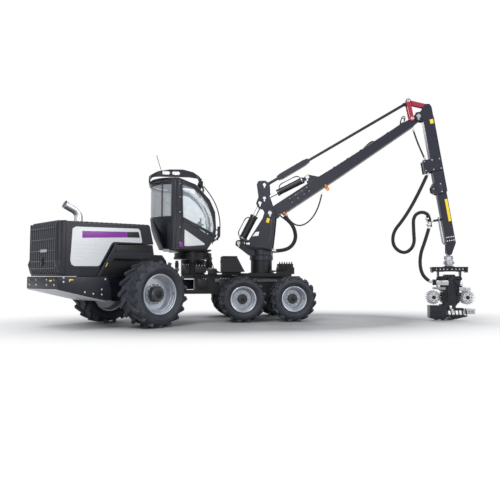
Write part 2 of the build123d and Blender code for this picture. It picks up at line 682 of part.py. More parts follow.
# Head yoke: wide beam under the rotator, with an arm down each side to the tilt pin.
tiltZ = -720.0
beamBottom = -530.0
yokeArmX = 262.0
yokeArmPlate = 30.0
tubeHalf = yokeArmX - movingGap
headTurn = Location((0, 0, 0), (0, 0, 0))
headFrame = headPlace * headTurn
with BuildPart() as yoke:
    with Locations((0, 0, -400)):
        Cylinder(110, 44)
    with Locations((0, 0, -425)):
        Box(900, 300, 30)
    with Locations((0, 0, (beamBottom - 440) / 2)):
        Box(840, 200, -440 - beamBottom)
    with BuildSketch(Plane.YZ.offset(yokeArmX)):
        with Locations((0, tiltZ)):
            Circle(58)
        outline([(-58, tiltZ), (58, tiltZ), (100, beamBottom + 5), (-100, beamBottom + 5)])
    extrude(amount=yokeArmPlate)
    with Locations(Location((yokeArmX + yokeArmPlate + 10, 0, tiltZ), (0, 90, 0))):
        Cylinder(42, 20)
    mirror(about=Plane.YZ)
finish("head_yoke", yoke.part, headFrame)

# Head frame: spine on its cross tube, valve box, saw box and foot rail.
with BuildPart() as headBody:
    with BuildSketch(Plane.XZ):
        outline([(-130, -610), (130, -610), (150, -800), (-150, -800)])
    extrude(amount=98, both=True)
    with BuildSketch(Plane.XZ):
        outline([(-150, -795), (150, -795), (190, -900), (190, -1300), (140, -1420), (-140, -1420), (-190, -1300), (-190, -900)])
    extrude(amount=150, both=True)
    with Locations(Location((0, 0, tiltZ), (0, 90, 0))):
        Cylinder(68, 2 * tubeHalf)
    with Locations((-280, -112, -815)):
        Box(320, 60, 150)
    with Locations((-330, -40, -1590)):
        Box(420, 380, 330)
    with Locations((-60, 0, -1440)):
        Box(360, 300, 100)
    with Locations((100, 60, -1700)):
        Box(520, 330, 50)
finish("head_frame", headBody.part, headFrame)

# Feed arms and spiked feed rollers, left and right.
rollerSpread = 400.0
rollerDrop = -1210.0
for side, word in ((-1, "left"), (1, "right")):
    with BuildPart() as arm:
        with BuildSketch(Plane.XY.offset(rollerDrop - 40)) as armTop:
            outline([(side * 50, 165), (side * 50, 250), (side * 520, 250), (side * 520, 168), (side * 200, 168)])
        extrude(amount=80)
        with Locations((side * 80, 208, rollerDrop)):
            Cylinder(42, 100)
        with Locations(Location((side * (rollerSpread + 20), 200, rollerDrop), (90, 0, 0))):
            Cylinder(95, 88)
    finish("feed_arm_" + word, arm.part, headFrame)
    with BuildPart() as roller:
        with BuildSketch(Plane.XZ.offset(150)):
            Circle(146)
            with PolarLocations(144, 12):
                RegularPolygon(40, 3)
        extrude(amount=-300)
        with Locations(Location((0, -155, 0), (90, 0, 0))):
            Cylinder(60, 24)
    finish("feed_roller_" + word, roller.part, headFrame * Location((side * (rollerSpread + 20), 0, rollerDrop)))

# Delimbing knives above the rollers.
for side, word in ((-1, "left"), (1, "right")):
    with BuildPart() as knife:
        with BuildSketch(Plane.XY.offset(-1000)) as knifeTop:
            outline([(side * 206, 66), (side * 210, 124), (side * 380, 90), (side * 430, -60), (side * 330, -330), (side * 190, -440),
                     (side * 290, -300), (side * 350, -60), (side * 310, 40)])
        extrude(amount=60)
        with Locations((side * 225, 95, -970)):
            Cylinder(24, 72)
    finish("knife_" + word, knife.part, headFrame)

# Saw bar folded in the saw box.
with BuildPart() as sawBar:
    with Locations((-150, -60, -1768)):
        Box(620, 90, 12)
    with Locations((-420, -60, -1768)):
        Cylinder(52, 16)
finish("saw_bar", sawBar.part, headFrame)


# Hoses: straight runs joined by tangent arcs.
def hose(points, diameter):
    spots = [Vector(*p) for p in points]
    cuts = []
    for before, corner, after in zip(spots, spots[1:], spots[2:]):
        back, ahead = before - corner, after - corner
        turn = 180 - back.get_angle(ahead)
        reach = 0.45 * min(back.length, ahead.length)
        bisector = (back.normalized() + ahead.normalized()).normalized()
        radius = reach / tan(radians(turn / 2))
        middle = corner + bisector * (radius / cos(radians(turn / 2)) - radius)
        cuts.append((corner + back.normalized() * reach, middle, corner + ahead.normalized() * reach, radius))
    print("hose of", diameter, "bends", [round(c[3]) for c in cuts])
    with BuildPart() as body:
        with BuildLine() as route:
            start = spots[0]
            for first, middle, last, radius in cuts:
                Line(start, first)
                ThreePointArc(first, middle, last)
                start = last
            Line(start, spots[-1])
        print("length", round(sum(edge.length for edge in route.edges())))
        with BuildSketch(Plane(origin=spots[0], z_dir=spots[1] - spots[0])):
            Circle(diameter / 2)
        sweep(path=route.line)
    return body.part


hoseTable = (
    {"name": "hose_post", "diameter": 90, "points": [
        (565, -158, 2900), (790, -165, 2745), (960, -172, 2500), (1000, -178, 2200), (850, -190, 1965), (590, -212, 1880), (335, -228, 1878)]},
    {"name": "hose_boom", "diameter": 40, "points": [
        (1720, -60, 3490), (1640, -62, 3120), (1420, -64, 2740), (1120, -66, 2560), (840, -64, 2680), (690, -60, 2925)]},
    {"name": "hose_tip", "diameter": 45, "points": [
        (4180, -60, 5160), (4255, -66, 4900), (4360, -66, 4600), (4478, -60, 4315)]},
    {"name": "hose_jib", "diameter": 60, "points": [
        (4545, -70, 3955), (4270, -84, 3350), (3900, -90, 2720), (3600, -92, 2360), (3600, -92, 1960), (3900, -92, 1760),
        (4160, -92, 1990), (4140, -90, 2400), (4140, -80, 2790), (4362, -74, 2918), (4578, -70, 2790), (4556, -70, 2530)]},
    {"name": "hose_head", "diameter": 60, "points": [
        (4553, -70, 2518), (4440, -72, 2130), (4300, -72, 1760), (4290, -66, 1380), (4400, -92, 1110), (4572, -112, 1015)]})
for item in hoseTable:
    finish(item["name"], hose(item["points"], item["diameter"]), cranePlace)
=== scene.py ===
import bpy, bmesh, math
import numpy as np
from mathutils import Vector, Matrix


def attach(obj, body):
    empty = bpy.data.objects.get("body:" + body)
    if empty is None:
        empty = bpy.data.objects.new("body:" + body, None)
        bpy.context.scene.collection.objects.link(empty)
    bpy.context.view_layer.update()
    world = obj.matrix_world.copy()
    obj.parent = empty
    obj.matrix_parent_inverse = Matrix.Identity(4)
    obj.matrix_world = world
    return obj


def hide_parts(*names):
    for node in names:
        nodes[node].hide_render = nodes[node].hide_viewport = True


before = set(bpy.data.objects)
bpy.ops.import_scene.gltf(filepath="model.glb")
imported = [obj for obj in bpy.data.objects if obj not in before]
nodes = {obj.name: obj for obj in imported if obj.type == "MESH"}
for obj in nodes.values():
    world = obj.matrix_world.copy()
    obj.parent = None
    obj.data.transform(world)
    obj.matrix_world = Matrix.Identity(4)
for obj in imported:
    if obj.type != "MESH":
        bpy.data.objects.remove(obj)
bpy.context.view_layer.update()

scene = bpy.context.scene

# Camera, standing low on the right side, fitted to the wheels.
cameraAt = {"place": (-2.55, -12.496, 1.139), "yaw": 10.07, "pitch": 3.29, "focalPixels": 480.0,
            "imagePixels": 500.0, "sensor": 36.0}
cameraData = bpy.data.cameras.new("camera")
cameraData.sensor_width = cameraAt["sensor"]
cameraData.lens = cameraAt["sensor"] * cameraAt["focalPixels"] / cameraAt["imagePixels"]
camera = bpy.data.objects.new("camera", cameraData)
scene.collection.objects.link(camera)
camera.location = cameraAt["place"]
camera.rotation_euler = (math.radians(90 + cameraAt["pitch"]), 0, math.radians(-cameraAt["yaw"]))
scene.camera = camera

# Places of the bodies in the stored pose, in metres: X forward, Y left, Z up.
def turn(angle, axis):
    return Matrix.Rotation(math.radians(angle), 4, axis)


def shift(x, y, z):
    return Matrix.Translation((x, y, z))


machine = shift(-1.9023, 0.8548, 0)
rear = machine @ turn(38.6, "Z")
cab = machine @ shift(0.12, 0, 0)
crane = machine @ shift(2.05, 0, 0) @ turn(-20, "Z")
boomStart, boomEnd = (0.28, 2.948), (4.328, 5.513)
boomRise = math.degrees(math.atan2(boomEnd[1] - boomStart[1], boomEnd[0] - boomStart[0]))
boomAxis = crane @ shift(boomStart[0], 0, boomStart[1]) @ turn(-boomRise, "Y")
jibAxis = crane @ shift(boomEnd[0], 0, boomEnd[1]) @ turn(90 - 8.5, "Y")
head = crane @ shift(5.03, 0, 1.83)


# Shader maths: a socket whose operators make nodes.
class Value:
    def __init__(self, tree, socket):
        self.tree = tree
        self.socket = socket

    def maths(self, operation, *others):
        node = self.tree.nodes.new("ShaderNodeMath")
        node.operation = operation
        for place, other in zip(node.inputs, (self,) + others):
            if isinstance(other, Value):
                self.tree.links.new(other.socket, place)
            else:
                place.default_value = other
        return Value(self.tree, node.outputs[0])

    def __add__(self, other):
        return self.maths("ADD", other)

    def __sub__(self, other):
        return self.maths("SUBTRACT", other)

    def __rsub__(self, other):
        return self * -1 + other

    def __mul__(self, other):
        return self.maths("MULTIPLY", other)

    def __truediv__(self, other):
        return self.maths("DIVIDE", other)

    def __lt__(self, other):
        return self.maths("LESS_THAN", other)

    def clamp(self):
        return self.maths("MAXIMUM", 0.0).maths("MINIMUM", 1.0)


# One node material being made.
class Look:
    def __init__(self, name):
        self.material = bpy.data.materials.new(name)
        self.material.use_nodes = True
        self.tree = self.material.node_tree
        self.shader = self.tree.nodes["Principled BSDF"]
        self.place = self.node("ShaderNodeTexCoord", output="Object")

    def node(self, kind, output=0, settings=None, **inputs):
        node = self.tree.nodes.new(kind)
        for key, value in (settings or {}).items():
            setattr(node, key, value)
        for key, value in inputs.items():
            numbered = key[0] == "_" and key[1:].isdigit()
            self.put(value, node.inputs[int(key[1:]) if numbered else key.replace("_", " ")])
        return Value(self.tree, node.outputs[output])

    def put(self, value, socket):
        if isinstance(value, Value):
            self.tree.links.new(value.socket, socket)
        else:
            socket.default_value = value

    def vectors(self, operation, *values, output=0):
        inputs = {f"_{k}": value for k, value in enumerate(values)}
        return self.node("ShaderNodeVectorMath", output=output, settings={"operation": operation}, **inputs)

    def noise(self, scale, detail=4.0, stretch=None):
        place = self.vectors("MULTIPLY", self.place, stretch) if stretch else self.place
        return self.node("ShaderNodeTexNoise", Vector=place, Scale=scale, Detail=detail)

    # Distance from a wheel's own axle.
    def axleDistance(self, centre, axle):
        away = self.vectors("SUBTRACT", self.place, tuple(centre))
        along = self.vectors("DOT_PRODUCT", away, tuple(axle), output="Value")
        reach = self.vectors("LENGTH", away, output="Value")
        return (reach * reach - along * along).maths("SQRT")

    def height(self):
        return self.node("ShaderNodeSeparateXYZ", output="Z", Vector=self.place)

    def blend(self, factor, first, second):
        return self.node("ShaderNodeMix", output=2, settings={"data_type": "RGBA"}, _0=factor,
                         _6=colour(first), _7=colour(second))

    def bump(self, height, distance, strength=0.5):
        self.put(self.node("ShaderNodeBump", Height=height, Distance=distance, Strength=strength),
                 self.shader.inputs["Normal"])

    def set(self, **inputs):
        for key, value in inputs.items():
            self.put(value, self.shader.inputs[key.replace("_", " ")])
        return self


def colour(value):
    return value if isinstance(value, Value) or len(value) == 4 else tuple(value) + (1.0,)


# Painted metal: dust low down and in patches, and a fine uneven skin.
def paint(name, base, dust=(0.16, 0.155, 0.15), dusty=0.25, rough=0.36, coat=0.12, metal=0.0, grain=420.0):
    look = Look(name)
    broad, fine = look.noise(1.7, 5.0), look.noise(23.0, 6.0)
    low = ((1.5 - look.height()) * 0.45).clamp()
    cover = ((broad * 1.5 - 0.5).clamp() * (fine * 1.3).clamp() * (low + 0.35) * dusty).clamp()
    tint = look.blend(fine, [c * 0.88 for c in base], [min(1, c * 1.1) for c in base])
    look.set(Base_Color=look.blend(cover, tint, dust))
    look.set(Roughness=(fine * 0.12 + cover * 0.5 + (rough - 0.06)).clamp(), Metallic=metal,
             Coat_Weight=coat, Coat_Roughness=0.22, Specular_IOR_Level=0.32)
    look.bump(look.noise(grain, 2.0), 0.0012, 0.25)
    return look.material


# Bare or plated metal with streaks.
def metal(name, base, rough=0.3, streak=(1, 1, 12), scale=60.0, worn=0.15):
    look = Look(name)
    lines, patches = look.noise(scale, 3.0, streak), look.noise(9.0, 5.0)
    look.set(Base_Color=look.blend((patches * 1.4 - 0.3).clamp(), [c * (1 - worn) for c in base], base),
             Roughness=(lines * 0.16 + patches * 0.12 + (rough - 0.12)).clamp(), Metallic=1.0)
    look.bump(lines, 0.0008, 0.2)
    return look.material


# Rubber: grey bloom over black, with fine pores.
def rubber(name, base, bloom, amount=0.6, rough=0.72):
    look = Look(name)
    broad, fine = look.noise(3.2, 6.0), look.noise(46.0, 5.0)
    cover = ((broad * 1.6 - 0.45).clamp() * (fine * 1.25) * amount).clamp()
    look.set(Base_Color=look.blend(cover, base, bloom), Roughness=(cover * 0.2 + rough).clamp(),
             Specular_IOR_Level=0.35)
    look.bump(fine * 0.6 + look.noise(300.0, 2.0) * 0.4, 0.002, 0.4)
    return look.material


# Rubber with raised rings on the sidewall, round the wheel's own axle.
def tyreLook(name, centre, axle, innerRadius, outerRadius):
    look = Look(name)
    radius = look.axleDistance(centre, axle)
    broad, fine = look.noise(3.0, 6.0), look.noise(40.0, 5.0)
    out = ((radius - innerRadius) / (outerRadius - innerRadius)).clamp()
    # Grey-blue bloom in patches, more towards the tread: partly rubber bloom and dust, partly a painted
    # bluish highlight on the tread.
    cover = ((broad * 1.5 - 0.35).clamp() * (fine * 1.2) * (out * 0.5 + 0.45)).clamp()
    rings = (radius * 260.0).maths("SINE") * (radius < (innerRadius + 0.11)) * 0.5
    look.set(Base_Color=look.blend(cover, (0.011, 0.012, 0.017), (0.1, 0.114, 0.142)),
             Roughness=(cover * 0.2 + 0.62).clamp(), Specular_IOR_Level=0.4)
    look.bump(rings + fine * 0.6, 0.004, 0.5)
    return look.material


# Silver wheel with a dark planet hub inside hubRadius.
def rimLook(name, centre, axle, hubRadius):
    look = Look(name)
    radius = look.axleDistance(centre, axle)
    dark = radius < hubRadius
    fine, broad = look.noise(30.0, 5.0), look.noise(4.0, 5.0)
    silver = look.blend((broad * 1.4 - 0.3).clamp(), (0.4, 0.43, 0.48), (0.62, 0.65, 0.7))
    look.set(Base_Color=look.blend(dark, silver, (0.032, 0.034, 0.04)), Metallic=(1.0 - dark) * 0.55,
             Roughness=(fine * 0.18 + 0.24 + dark * 0.1).clamp(), Coat_Weight=0.3)
    look.bump(fine, 0.001, 0.25)
    return look.material


def glass(name, tint, clear=0.72, rough=0.04):
    look = Look(name)
    smear = look.noise(5.0, 5.0)
    look.set(Base_Color=colour(tint), Roughness=(smear * 0.05 + rough).clamp(),
             Alpha=((smear - 0.5) * 0.16 + (1 - clear)).clamp(), Specular_IOR_Level=0.9, Coat_Weight=0.6)
    look.material.surface_render_method = "BLENDED"
    return look.material


def glow(name, base, strength):
    look = Look(name)
    grain = look.noise(90.0, 3.0)
    look.set(Base_Color=look.blend(grain, [c * 0.85 for c in base], base), Roughness=0.12, Metallic=0.6,
             Emission_Color=look.blend(grain, base, [min(1, c * 1.1) for c in base]),
             Emission_Strength=strength)
    return look.material


def woven(name, base, other, size=0.006):
    look = Look(name)
    waves = [look.node("ShaderNodeTexWave", settings={"bands_direction": way}, output=1, Vector=look.place,
                       Scale=1 / size, Distortion=0.6) for way in ("Z", "Y")]
    weave = waves[0] * waves[1]
    look.set(Base_Color=look.blend(weave, base, other), Roughness=(weave * 0.1 + 0.8).clamp(),
             Sheen_Weight=0.3)
    look.bump(weave, 0.0015, 0.6)
    return look.material


charcoal = paint("charcoal", (0.0092, 0.0098, 0.0165), dust=(0.05, 0.052, 0.06))
blackPart = paint("blackPart", (0.006, 0.0062, 0.008), dust=(0.032, 0.033, 0.037), rough=0.48, coat=0.1)
slatGrey = paint("slatGrey", (0.052, 0.055, 0.066), dust=(0.1, 0.1, 0.1), rough=0.34)
craneCoat = paint("craneCoat", (0.0155, 0.0165, 0.0275), dust=(0.05, 0.052, 0.06), rough=0.38, dusty=0.2)
palePanel = paint("palePanel", (0.56, 0.58, 0.6), dust=(0.42, 0.42, 0.41), rough=0.3, coat=0.5)
beltSilver = paint("beltSilver", (0.42, 0.44, 0.46), dust=(0.25, 0.24, 0.23), rough=0.4)
purple = paint("purple", (0.19, 0.028, 0.26), rough=0.3, dusty=0.1)
redPaint = paint("redPaint", (0.3, 0.022, 0.048), rough=0.36, dusty=0.15)
orangePaint = paint("orangePaint", (0.8, 0.27, 0.015), rough=0.38, dusty=0.15)
yellowPaint = paint("yellowPaint", (0.8, 0.58, 0.03), rough=0.4, dusty=0.12)
whitePaint = paint("whitePaint", (0.78, 0.79, 0.8), rough=0.35, dusty=0.12)
rimSilver = metal("rimSilver", (0.6, 0.63, 0.69), rough=0.34, streak=(6, 6, 6), scale=30.0)
zinc = metal("zinc", (0.6, 0.61, 0.63), rough=0.34)
chrome = metal("chrome", (0.8, 0.81, 0.83), rough=0.38, worn=0.08)
steel = metal("steel", (0.42, 0.43, 0.46), rough=0.4)
brightSteel = metal("brightSteel", (0.7, 0.71, 0.73), rough=0.34, worn=0.22)
hoseRubber = rubber("hoseRubber", (0.016, 0.017, 0.021), (0.07, 0.075, 0.09), 0.5, 0.5)
blackRubber = rubber("blackRubber", (0.012, 0.012, 0.014), (0.05, 0.05, 0.055), 0.4)
cabGlass = glass("cabGlass", (0.55, 0.66, 0.74), 0.8)
smokeGlass = glass("smokeGlass", (0.3, 0.33, 0.36), 0.55)
lampFace = glow("lampFace", (0.85, 0.88, 0.92), 0.35)
seatCloth = woven("seatCloth", (0.02, 0.02, 0.024), (0.06, 0.06, 0.07))
plastic = paint("plastic", (0.01, 0.01, 0.012), rough=0.55, coat=0.0, dusty=0.1, grain=900.0)
print("materials made")

# Every kept solid gets its finish.
finishes = {
    "front_frame": blackPart, "bogie_boxes": blackPart, "rear_frame": charcoal, "engine": steel,
    "hood": charcoal, "hood_panels": palePanel, "grille": blackPart, "exhaust": chrome,
    "cab_shell": charcoal, "turntable": blackPart, "roof_guard": charcoal, "roof_lamps": blackPart,
    "window_right": cabGlass, "windscreen": cabGlass, "rear_window": smokeGlass, "door": charcoal,
    "door_glass": cabGlass, "seat": seatCloth, "consoles": plastic, "crane_post": craneCoat,
    "rocker": craneCoat, "lift_barrel": charcoal, "lift_rod": chrome, "boom": craneCoat,
    "lifting_eyes": orangePaint, "fold_barrel": charcoal, "fold_rod": chrome, "long_link": craneCoat,
    "short_link": redPaint, "upper_link": redPaint, "jib": craneCoat, "extension": craneCoat,
    "tip_link": steel, "rotator": steel, "head_yoke": charcoal, "head_frame": charcoal,
    "feed_arm_left": blackPart, "feed_arm_right": blackPart, "feed_roller_left": brightSteel,
    "feed_roller_right": brightSteel, "knife_left": brightSteel, "knife_right": brightSteel,
    "saw_bar": steel}
for name, material in finishes.items():
    if name in nodes:
        nodes[name].data.materials.clear()
        nodes[name].data.materials.append(material)

# Wheels: the sizes of each kind, then name, place of its body, x, y and kind.
wheelSizes = {
    "small": {"tyre": 0.585, "rim": 0.318, "hub": 0.13, "width": 0.6, "reach": 0.13,
              "nuts": 10, "nut": 0.011},
    "large": {"tyre": 0.76, "rim": 0.452, "hub": 0.185, "width": 0.65, "reach": 0.19,
              "nuts": 14, "nut": 0.014}}
wheelTable = (
    ("bogie_rear_right", machine, 1.33, -1.047, "small"),
    ("bogie_front_right", machine, 2.661, -1.047, "small"),
    ("bogie_rear_left", machine, 1.33, 1.047, "small"), ("bogie_front_left", machine, 2.661, 1.047, "small"),
    ("rear_right", rear, -1.958, -1.022, "large"), ("rear_left", rear, -1.958, 1.022, "large"))
for name, place, x, y, kind in wheelTable:
    sizes = wheelSizes[kind]
    centre, axle = place @ Vector((x, y, sizes["tyre"])), place.to_3x3() @ Vector((0, 1, 0))
    looks = {"tyre_": tyreLook("tyre_" + name, centre, axle, sizes["rim"], sizes["tyre"]),
             "rim_": rimLook("rim_" + name, centre, axle, sizes["hub"] + 0.004)}
    for part, look in looks.items():
        nodes[part + name].data.materials.clear()
        nodes[part + name].data.materials.append(look)


# Two distances on one side of the middle plane, the lower first.
def across(side, low, high):
    return sorted((side * low, side * high))


# Points spaced evenly round a circle, started a share of a step on.
def circle(count, radius, start=0.0):
    angles = [2 * math.pi * (k + start) / count for k in range(count)]
    return [(radius * math.cos(a), radius * math.sin(a)) for a in angles]


# Frame at a place whose Z runs along an axis.
def facing(at, axis):
    return Matrix.Translation(at) @ Vector(axis).to_track_quat("Z", "Y").to_matrix().to_4x4()


# Solids gathered into one piece.
class Shape:
    def __init__(self):
        self.points, self.faces = [], []

    def add(self, points, faces, place=None):
        base = len(self.points)
        points = [Vector(p) for p in points]
        if place is not None:
            points = [place @ p for p in points]
        self.points += [tuple(p) for p in points]
        self.faces += [tuple(base + i for i in face) for face in faces]
        return self

    def box(self, size, at=(0, 0, 0), place=None):
        x, y, z = (s / 2 for s in size)
        points = [(at[0] + i * x, at[1] + j * y, at[2] + k * z) for i in (-1, 1) for j in (-1, 1)
                  for k in (-1, 1)]
        return self.add(points, [(0, 1, 3, 2), (4, 6, 7, 5), (0, 4, 5, 1), (2, 3, 7, 6), (0, 2, 6, 4),
                                 (1, 5, 7, 3)], place)

    # Outline in a plane, from low to high across it.
    def slab(self, outline, low, high, plane="XZ", place=None):
        def put(u, v, w):
            return {"XZ": (u, w, v), "XY": (u, v, w), "YZ": (w, u, v)}[plane]
        n = len(outline)
        points = [put(u, v, low) for u, v in outline] + [put(u, v, high) for u, v in outline]
        sides = [(i, (i + 1) % n, n + (i + 1) % n, n + i) for i in range(n)]
        return self.add(points, [tuple(range(n)), tuple(range(2 * n - 1, n - 1, -1))] + sides, place)

    # Profile of (radius, distance along the axis) turned round the axis, closed at its ends.
    def turned(self, profile, at=(0, 0, 0), axis=(0, 0, 1), sides=28, place=None):
        spot = facing(at, axis)
        angles = np.arange(sides) * 2 * math.pi / sides
        points = [spot @ Vector((r * math.cos(a), r * math.sin(a), d)) for r, d in profile for a in angles]
        faces = []
        for row in range(len(profile) - 1):
            for k in range(sides):
                m = (k + 1) % sides
                faces.append((row * sides + k, row * sides + m, (row + 1) * sides + m,
                              (row + 1) * sides + k))
        faces += [tuple(range(sides - 1, -1, -1)),
                  tuple(range((len(profile) - 1) * sides, len(profile) * sides))]
        return self.add(points, faces, place)

    def ring(self, at, axis, major, minor, sides=56, place=None):
        spot, minorSides = facing(at, axis), 8
        points, faces = [], []
        for i, (x, y) in enumerate(circle(sides, 1.0)):
            for k, (u, v) in enumerate(circle(minorSides, minor)):
                points.append(spot @ Vector(((major + u) * x, (major + u) * y, v)))
                here, there, other = i * minorSides, ((i + 1) % sides) * minorSides, (k + 1) % minorSides
                faces.append((here + k, there + k, there + other, here + other))
        return self.add(points, faces, place)

    def rod(self, start, end, radius, sides=20, place=None):
        start, end = Vector(start), Vector(end)
        return self.turned([(radius, 0), (radius, (end - start).length)], start, end - start, sides, place)

    # Hexagon head on its washer, with a domed stud end.
    def bolt(self, at, axis, radius=0.014, tall=0.01, place=None):
        self.turned([(radius * 1.45, 0), (radius * 1.45, tall * 0.2)], at, axis, 18, place)
        lift = Vector(axis).normalized() * tall * 0.2
        self.turned([(radius, 0), (radius, tall * 0.85), (radius * 0.85, tall)], Vector(at) + lift, axis, 6,
                    place)
        stud = [(radius * 0.5, 0), (radius * 0.5, tall * 0.35), (radius * 0.3, tall * 0.5)]
        return self.turned(stud, Vector(at) + lift * 6, axis, 10, place)

    # Pin end: chamfered disc with a raised ring and a sunk middle.
    def pin(self, at, axis, radius, tall, place=None):
        profile = ((1, 0), (1, 0.8), (0.94, 1), (0.72, 1), (0.68, 0.7), (0.3, 0.7), (0.26, 1.1), (0.1, 1.15))
        return self.turned([(radius * r, tall * d) for r, d in profile], at, axis, 32, place)


# Mesh object from a shape: edges rounded, shaded smooth, riding on its body.
def piece(name, shape, material, body, bevel=0.004, segments=2, replaces=(), place=None):
    mesh = bpy.data.meshes.new(name)
    mesh.from_pydata(shape.points, [], shape.faces)
    work = bmesh.new()
    work.from_mesh(mesh)
    if place is not None:
        work.transform(place)
    bmesh.ops.recalc_face_normals(work, faces=work.faces)
    if bevel:
        sharp = [e for e in work.edges if len(e.link_faces) == 2 and e.calc_face_angle(0) > 0.6]
        bmesh.ops.bevel(work, geom=sharp, offset=bevel, segments=segments, affect="EDGES", profile=0.6,
                        clamp_overlap=True)
    work.to_mesh(mesh)
    work.free()
    mesh.polygons.foreach_set("use_smooth", np.ones(len(mesh.polygons), dtype=bool))
    mesh.set_sharp_from_angle(angle=math.radians(40))
    made = bpy.data.objects.new(name, mesh)
    scene.collection.objects.link(made)
    mesh.materials.append(material)
    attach(made, body)
    if replaces:
        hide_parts(*replaces)
    return made


# Pieces on one body: each row is a name, shape, material, bevel and, where there is one, the node replaced.
def pieces(body, place, *rows):
    for name, shape, material, bevel, *replaced in rows:
        piece(name, shape, material, body, bevel=bevel, replaces=replaced, place=place)


# Round pipes along smooth lines through a body's own points.
def pipe(name, lines, radius, material, body, place):
    data = bpy.data.curves.new(name, "CURVE")
    data.dimensions = "3D"
    data.bevel_depth = radius
    data.bevel_resolution = 4
    data.use_fill_caps = True
    for line in lines:
        spline = data.splines.new("NURBS")
        spline.points.add(len(line) - 1)
        for point, spot in zip(spline.points, line):
            point.co = (*(place @ Vector(spot)), 1.0)
        spline.order_u = 3
        spline.use_endpoint_u = True
        spline.resolution_u = 12
    data.materials.append(material)
    made = bpy.data.objects.new(name, data)
    scene.collection.objects.link(made)
    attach(made, body)
    return made

# Hoses: free cords along the routes that the solids follow, in the crane's own metres.
cordTable = {
    "hose_post": {"body": "crane_post", "diameter": 0.09, "length": 1.654, "points": [
        (0.565, -0.158, 2.9), (0.79, -0.165, 2.745), (0.96, -0.172, 2.5), (1.0, -0.178, 2.2),
        (0.85, -0.19, 1.965), (0.59, -0.212, 1.88), (0.335, -0.228, 1.878)]},
    "hose_boom": {"body": "boom", "diameter": 0.04, "length": 1.721, "points": [
        (1.72, -0.06, 3.49), (1.64, -0.062, 3.12), (1.42, -0.064, 2.74), (1.12, -0.066, 2.56),
        (0.84, -0.064, 2.68), (0.69, -0.06, 2.925)]},
    "hose_tip": {"body": "boom", "diameter": 0.045, "length": 0.897, "points": [
        (4.18, -0.06, 5.16), (4.255, -0.066, 4.9), (4.36, -0.066, 4.6), (4.478, -0.06, 4.315)]},
    "hose_jib": {"body": "jib", "diameter": 0.06, "length": 4.363, "points": [
        (4.545, -0.07, 3.955), (4.27, -0.084, 3.35), (3.9, -0.09, 2.72), (3.6, -0.092, 2.36),
        (3.6, -0.092, 1.96), (3.9, -0.092, 1.76), (4.16, -0.092, 1.99), (4.14, -0.09, 2.4),
        (4.14, -0.08, 2.79), (4.362, -0.074, 2.918), (4.578, -0.07, 2.79), (4.556, -0.07, 2.53)]},
    "hose_head": {"body": "extension", "diameter": 0.06, "length": 1.656, "points": [
        (4.553, -0.07, 2.518), (4.44, -0.072, 2.13), (4.3, -0.072, 1.76), (4.29, -0.066, 1.38),
        (4.4, -0.092, 1.11), (4.572, -0.112, 1.015)]}}


# Points of a curve's own line, read with its bevel off, and their distances along it.
def centreline(curve):
    thick = curve.data.bevel_depth
    curve.data.bevel_depth = 0
    mesh = bpy.data.meshes.new_from_object(curve)
    curve.data.bevel_depth = thick
    spots = np.zeros(len(mesh.vertices) * 3)
    mesh.vertices.foreach_get("co", spots)
    spots = spots.reshape(-1, 3)
    bpy.data.meshes.remove(mesh)
    return spots, np.concatenate([[0], np.cumsum(np.linalg.norm(np.diff(spots, axis=0), axis=1))])


# Corrugated guard over part of a hose: a tube whose radius rises and falls once per pitch.
def sleeve(name, curve, start, end, radius, pitch, lift, body):
    spots, along = centreline(curve)
    count = int((end - start) / pitch) * 6
    stations = np.linspace(start, min(end, along[-1]), count)
    line = np.stack([np.interp(stations, along, spots[:, k]) for k in range(3)], axis=1)
    way = np.gradient(line, axis=0)
    way /= np.linalg.norm(way, axis=1)[:, None]
    side = np.cross(way, (0.3, 0.9, 0.2))
    side /= np.linalg.norm(side, axis=1)[:, None]
    other = np.cross(way, side)
    ripple = radius + lift * np.abs(np.sin(math.pi * (stations - start) / pitch))
    sides = 14
    angles = np.arange(sides) * 2 * math.pi / sides
    cosines, sines = np.cos(angles)[None, :, None], np.sin(angles)[None, :, None]
    ring = line[:, None] + ripple[:, None, None] * (cosines * side[:, None] + sines * other[:, None])
    faces = [(i * sides + k, i * sides + (k + 1) % sides, (i + 1) * sides + (k + 1) % sides,
              (i + 1) * sides + k) for i in range(count - 1) for k in range(sides)]
    faces += [tuple(range(sides - 1, -1, -1)), tuple(range((count - 1) * sides, count * sides))]
    return piece(name, Shape().add(ring.reshape(-1, 3).tolist(), faces), blackRubber, body, bevel=0)


# Crimped ferrule and swivel nut at each end of a hose.
def fitting(name, curve, radius, body):
    spots, _ = centreline(curve)
    shape = Shape()
    for a, b in ((0, 1), (-1, -2)):
        way = Vector(spots[b] - spots[a]).normalized()
        at = Vector(spots[a])
        shape.turned([(radius * 0.8, 0), (radius * 1.25, 0.004), (radius * 1.25, radius * 0.9)], at, way, 6)
        shape.turned([(radius * 1.12, radius * 0.9), (radius * 1.22, radius * 1.1),
                      (radius * 1.22, radius * 2.6), (radius * 1.1, radius * 2.8)], at, way, 24)
    return piece(name, shape, zinc, body, bevel=0.0015)


guards = {"hose_post": {"start": 0.1, "end": 1.55, "radius": 0.047, "pitch": 0.03, "lift": 0.008},
          "hose_jib": {"start": 0.1, "end": 4.22, "radius": 0.04, "pitch": 0.034, "lift": 0.008},
          "hose_head": {"start": 0.08, "end": 1.56, "radius": 0.04, "pitch": 0.034, "lift": 0.008}}
for name, item in cordTable.items():
    cordPiece = pipe(name + "_line", [item["points"]], item["diameter"] / 2, hoseRubber, item["body"], crane)
    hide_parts(name)
    dressing = [fitting(name + "_fittings", cordPiece, item["diameter"] / 2, item["body"])]
    if name in guards:
        dressing.append(sleeve(name + "_guard", cordPiece, body=item["body"], **guards[name]))
print("hoses laid")

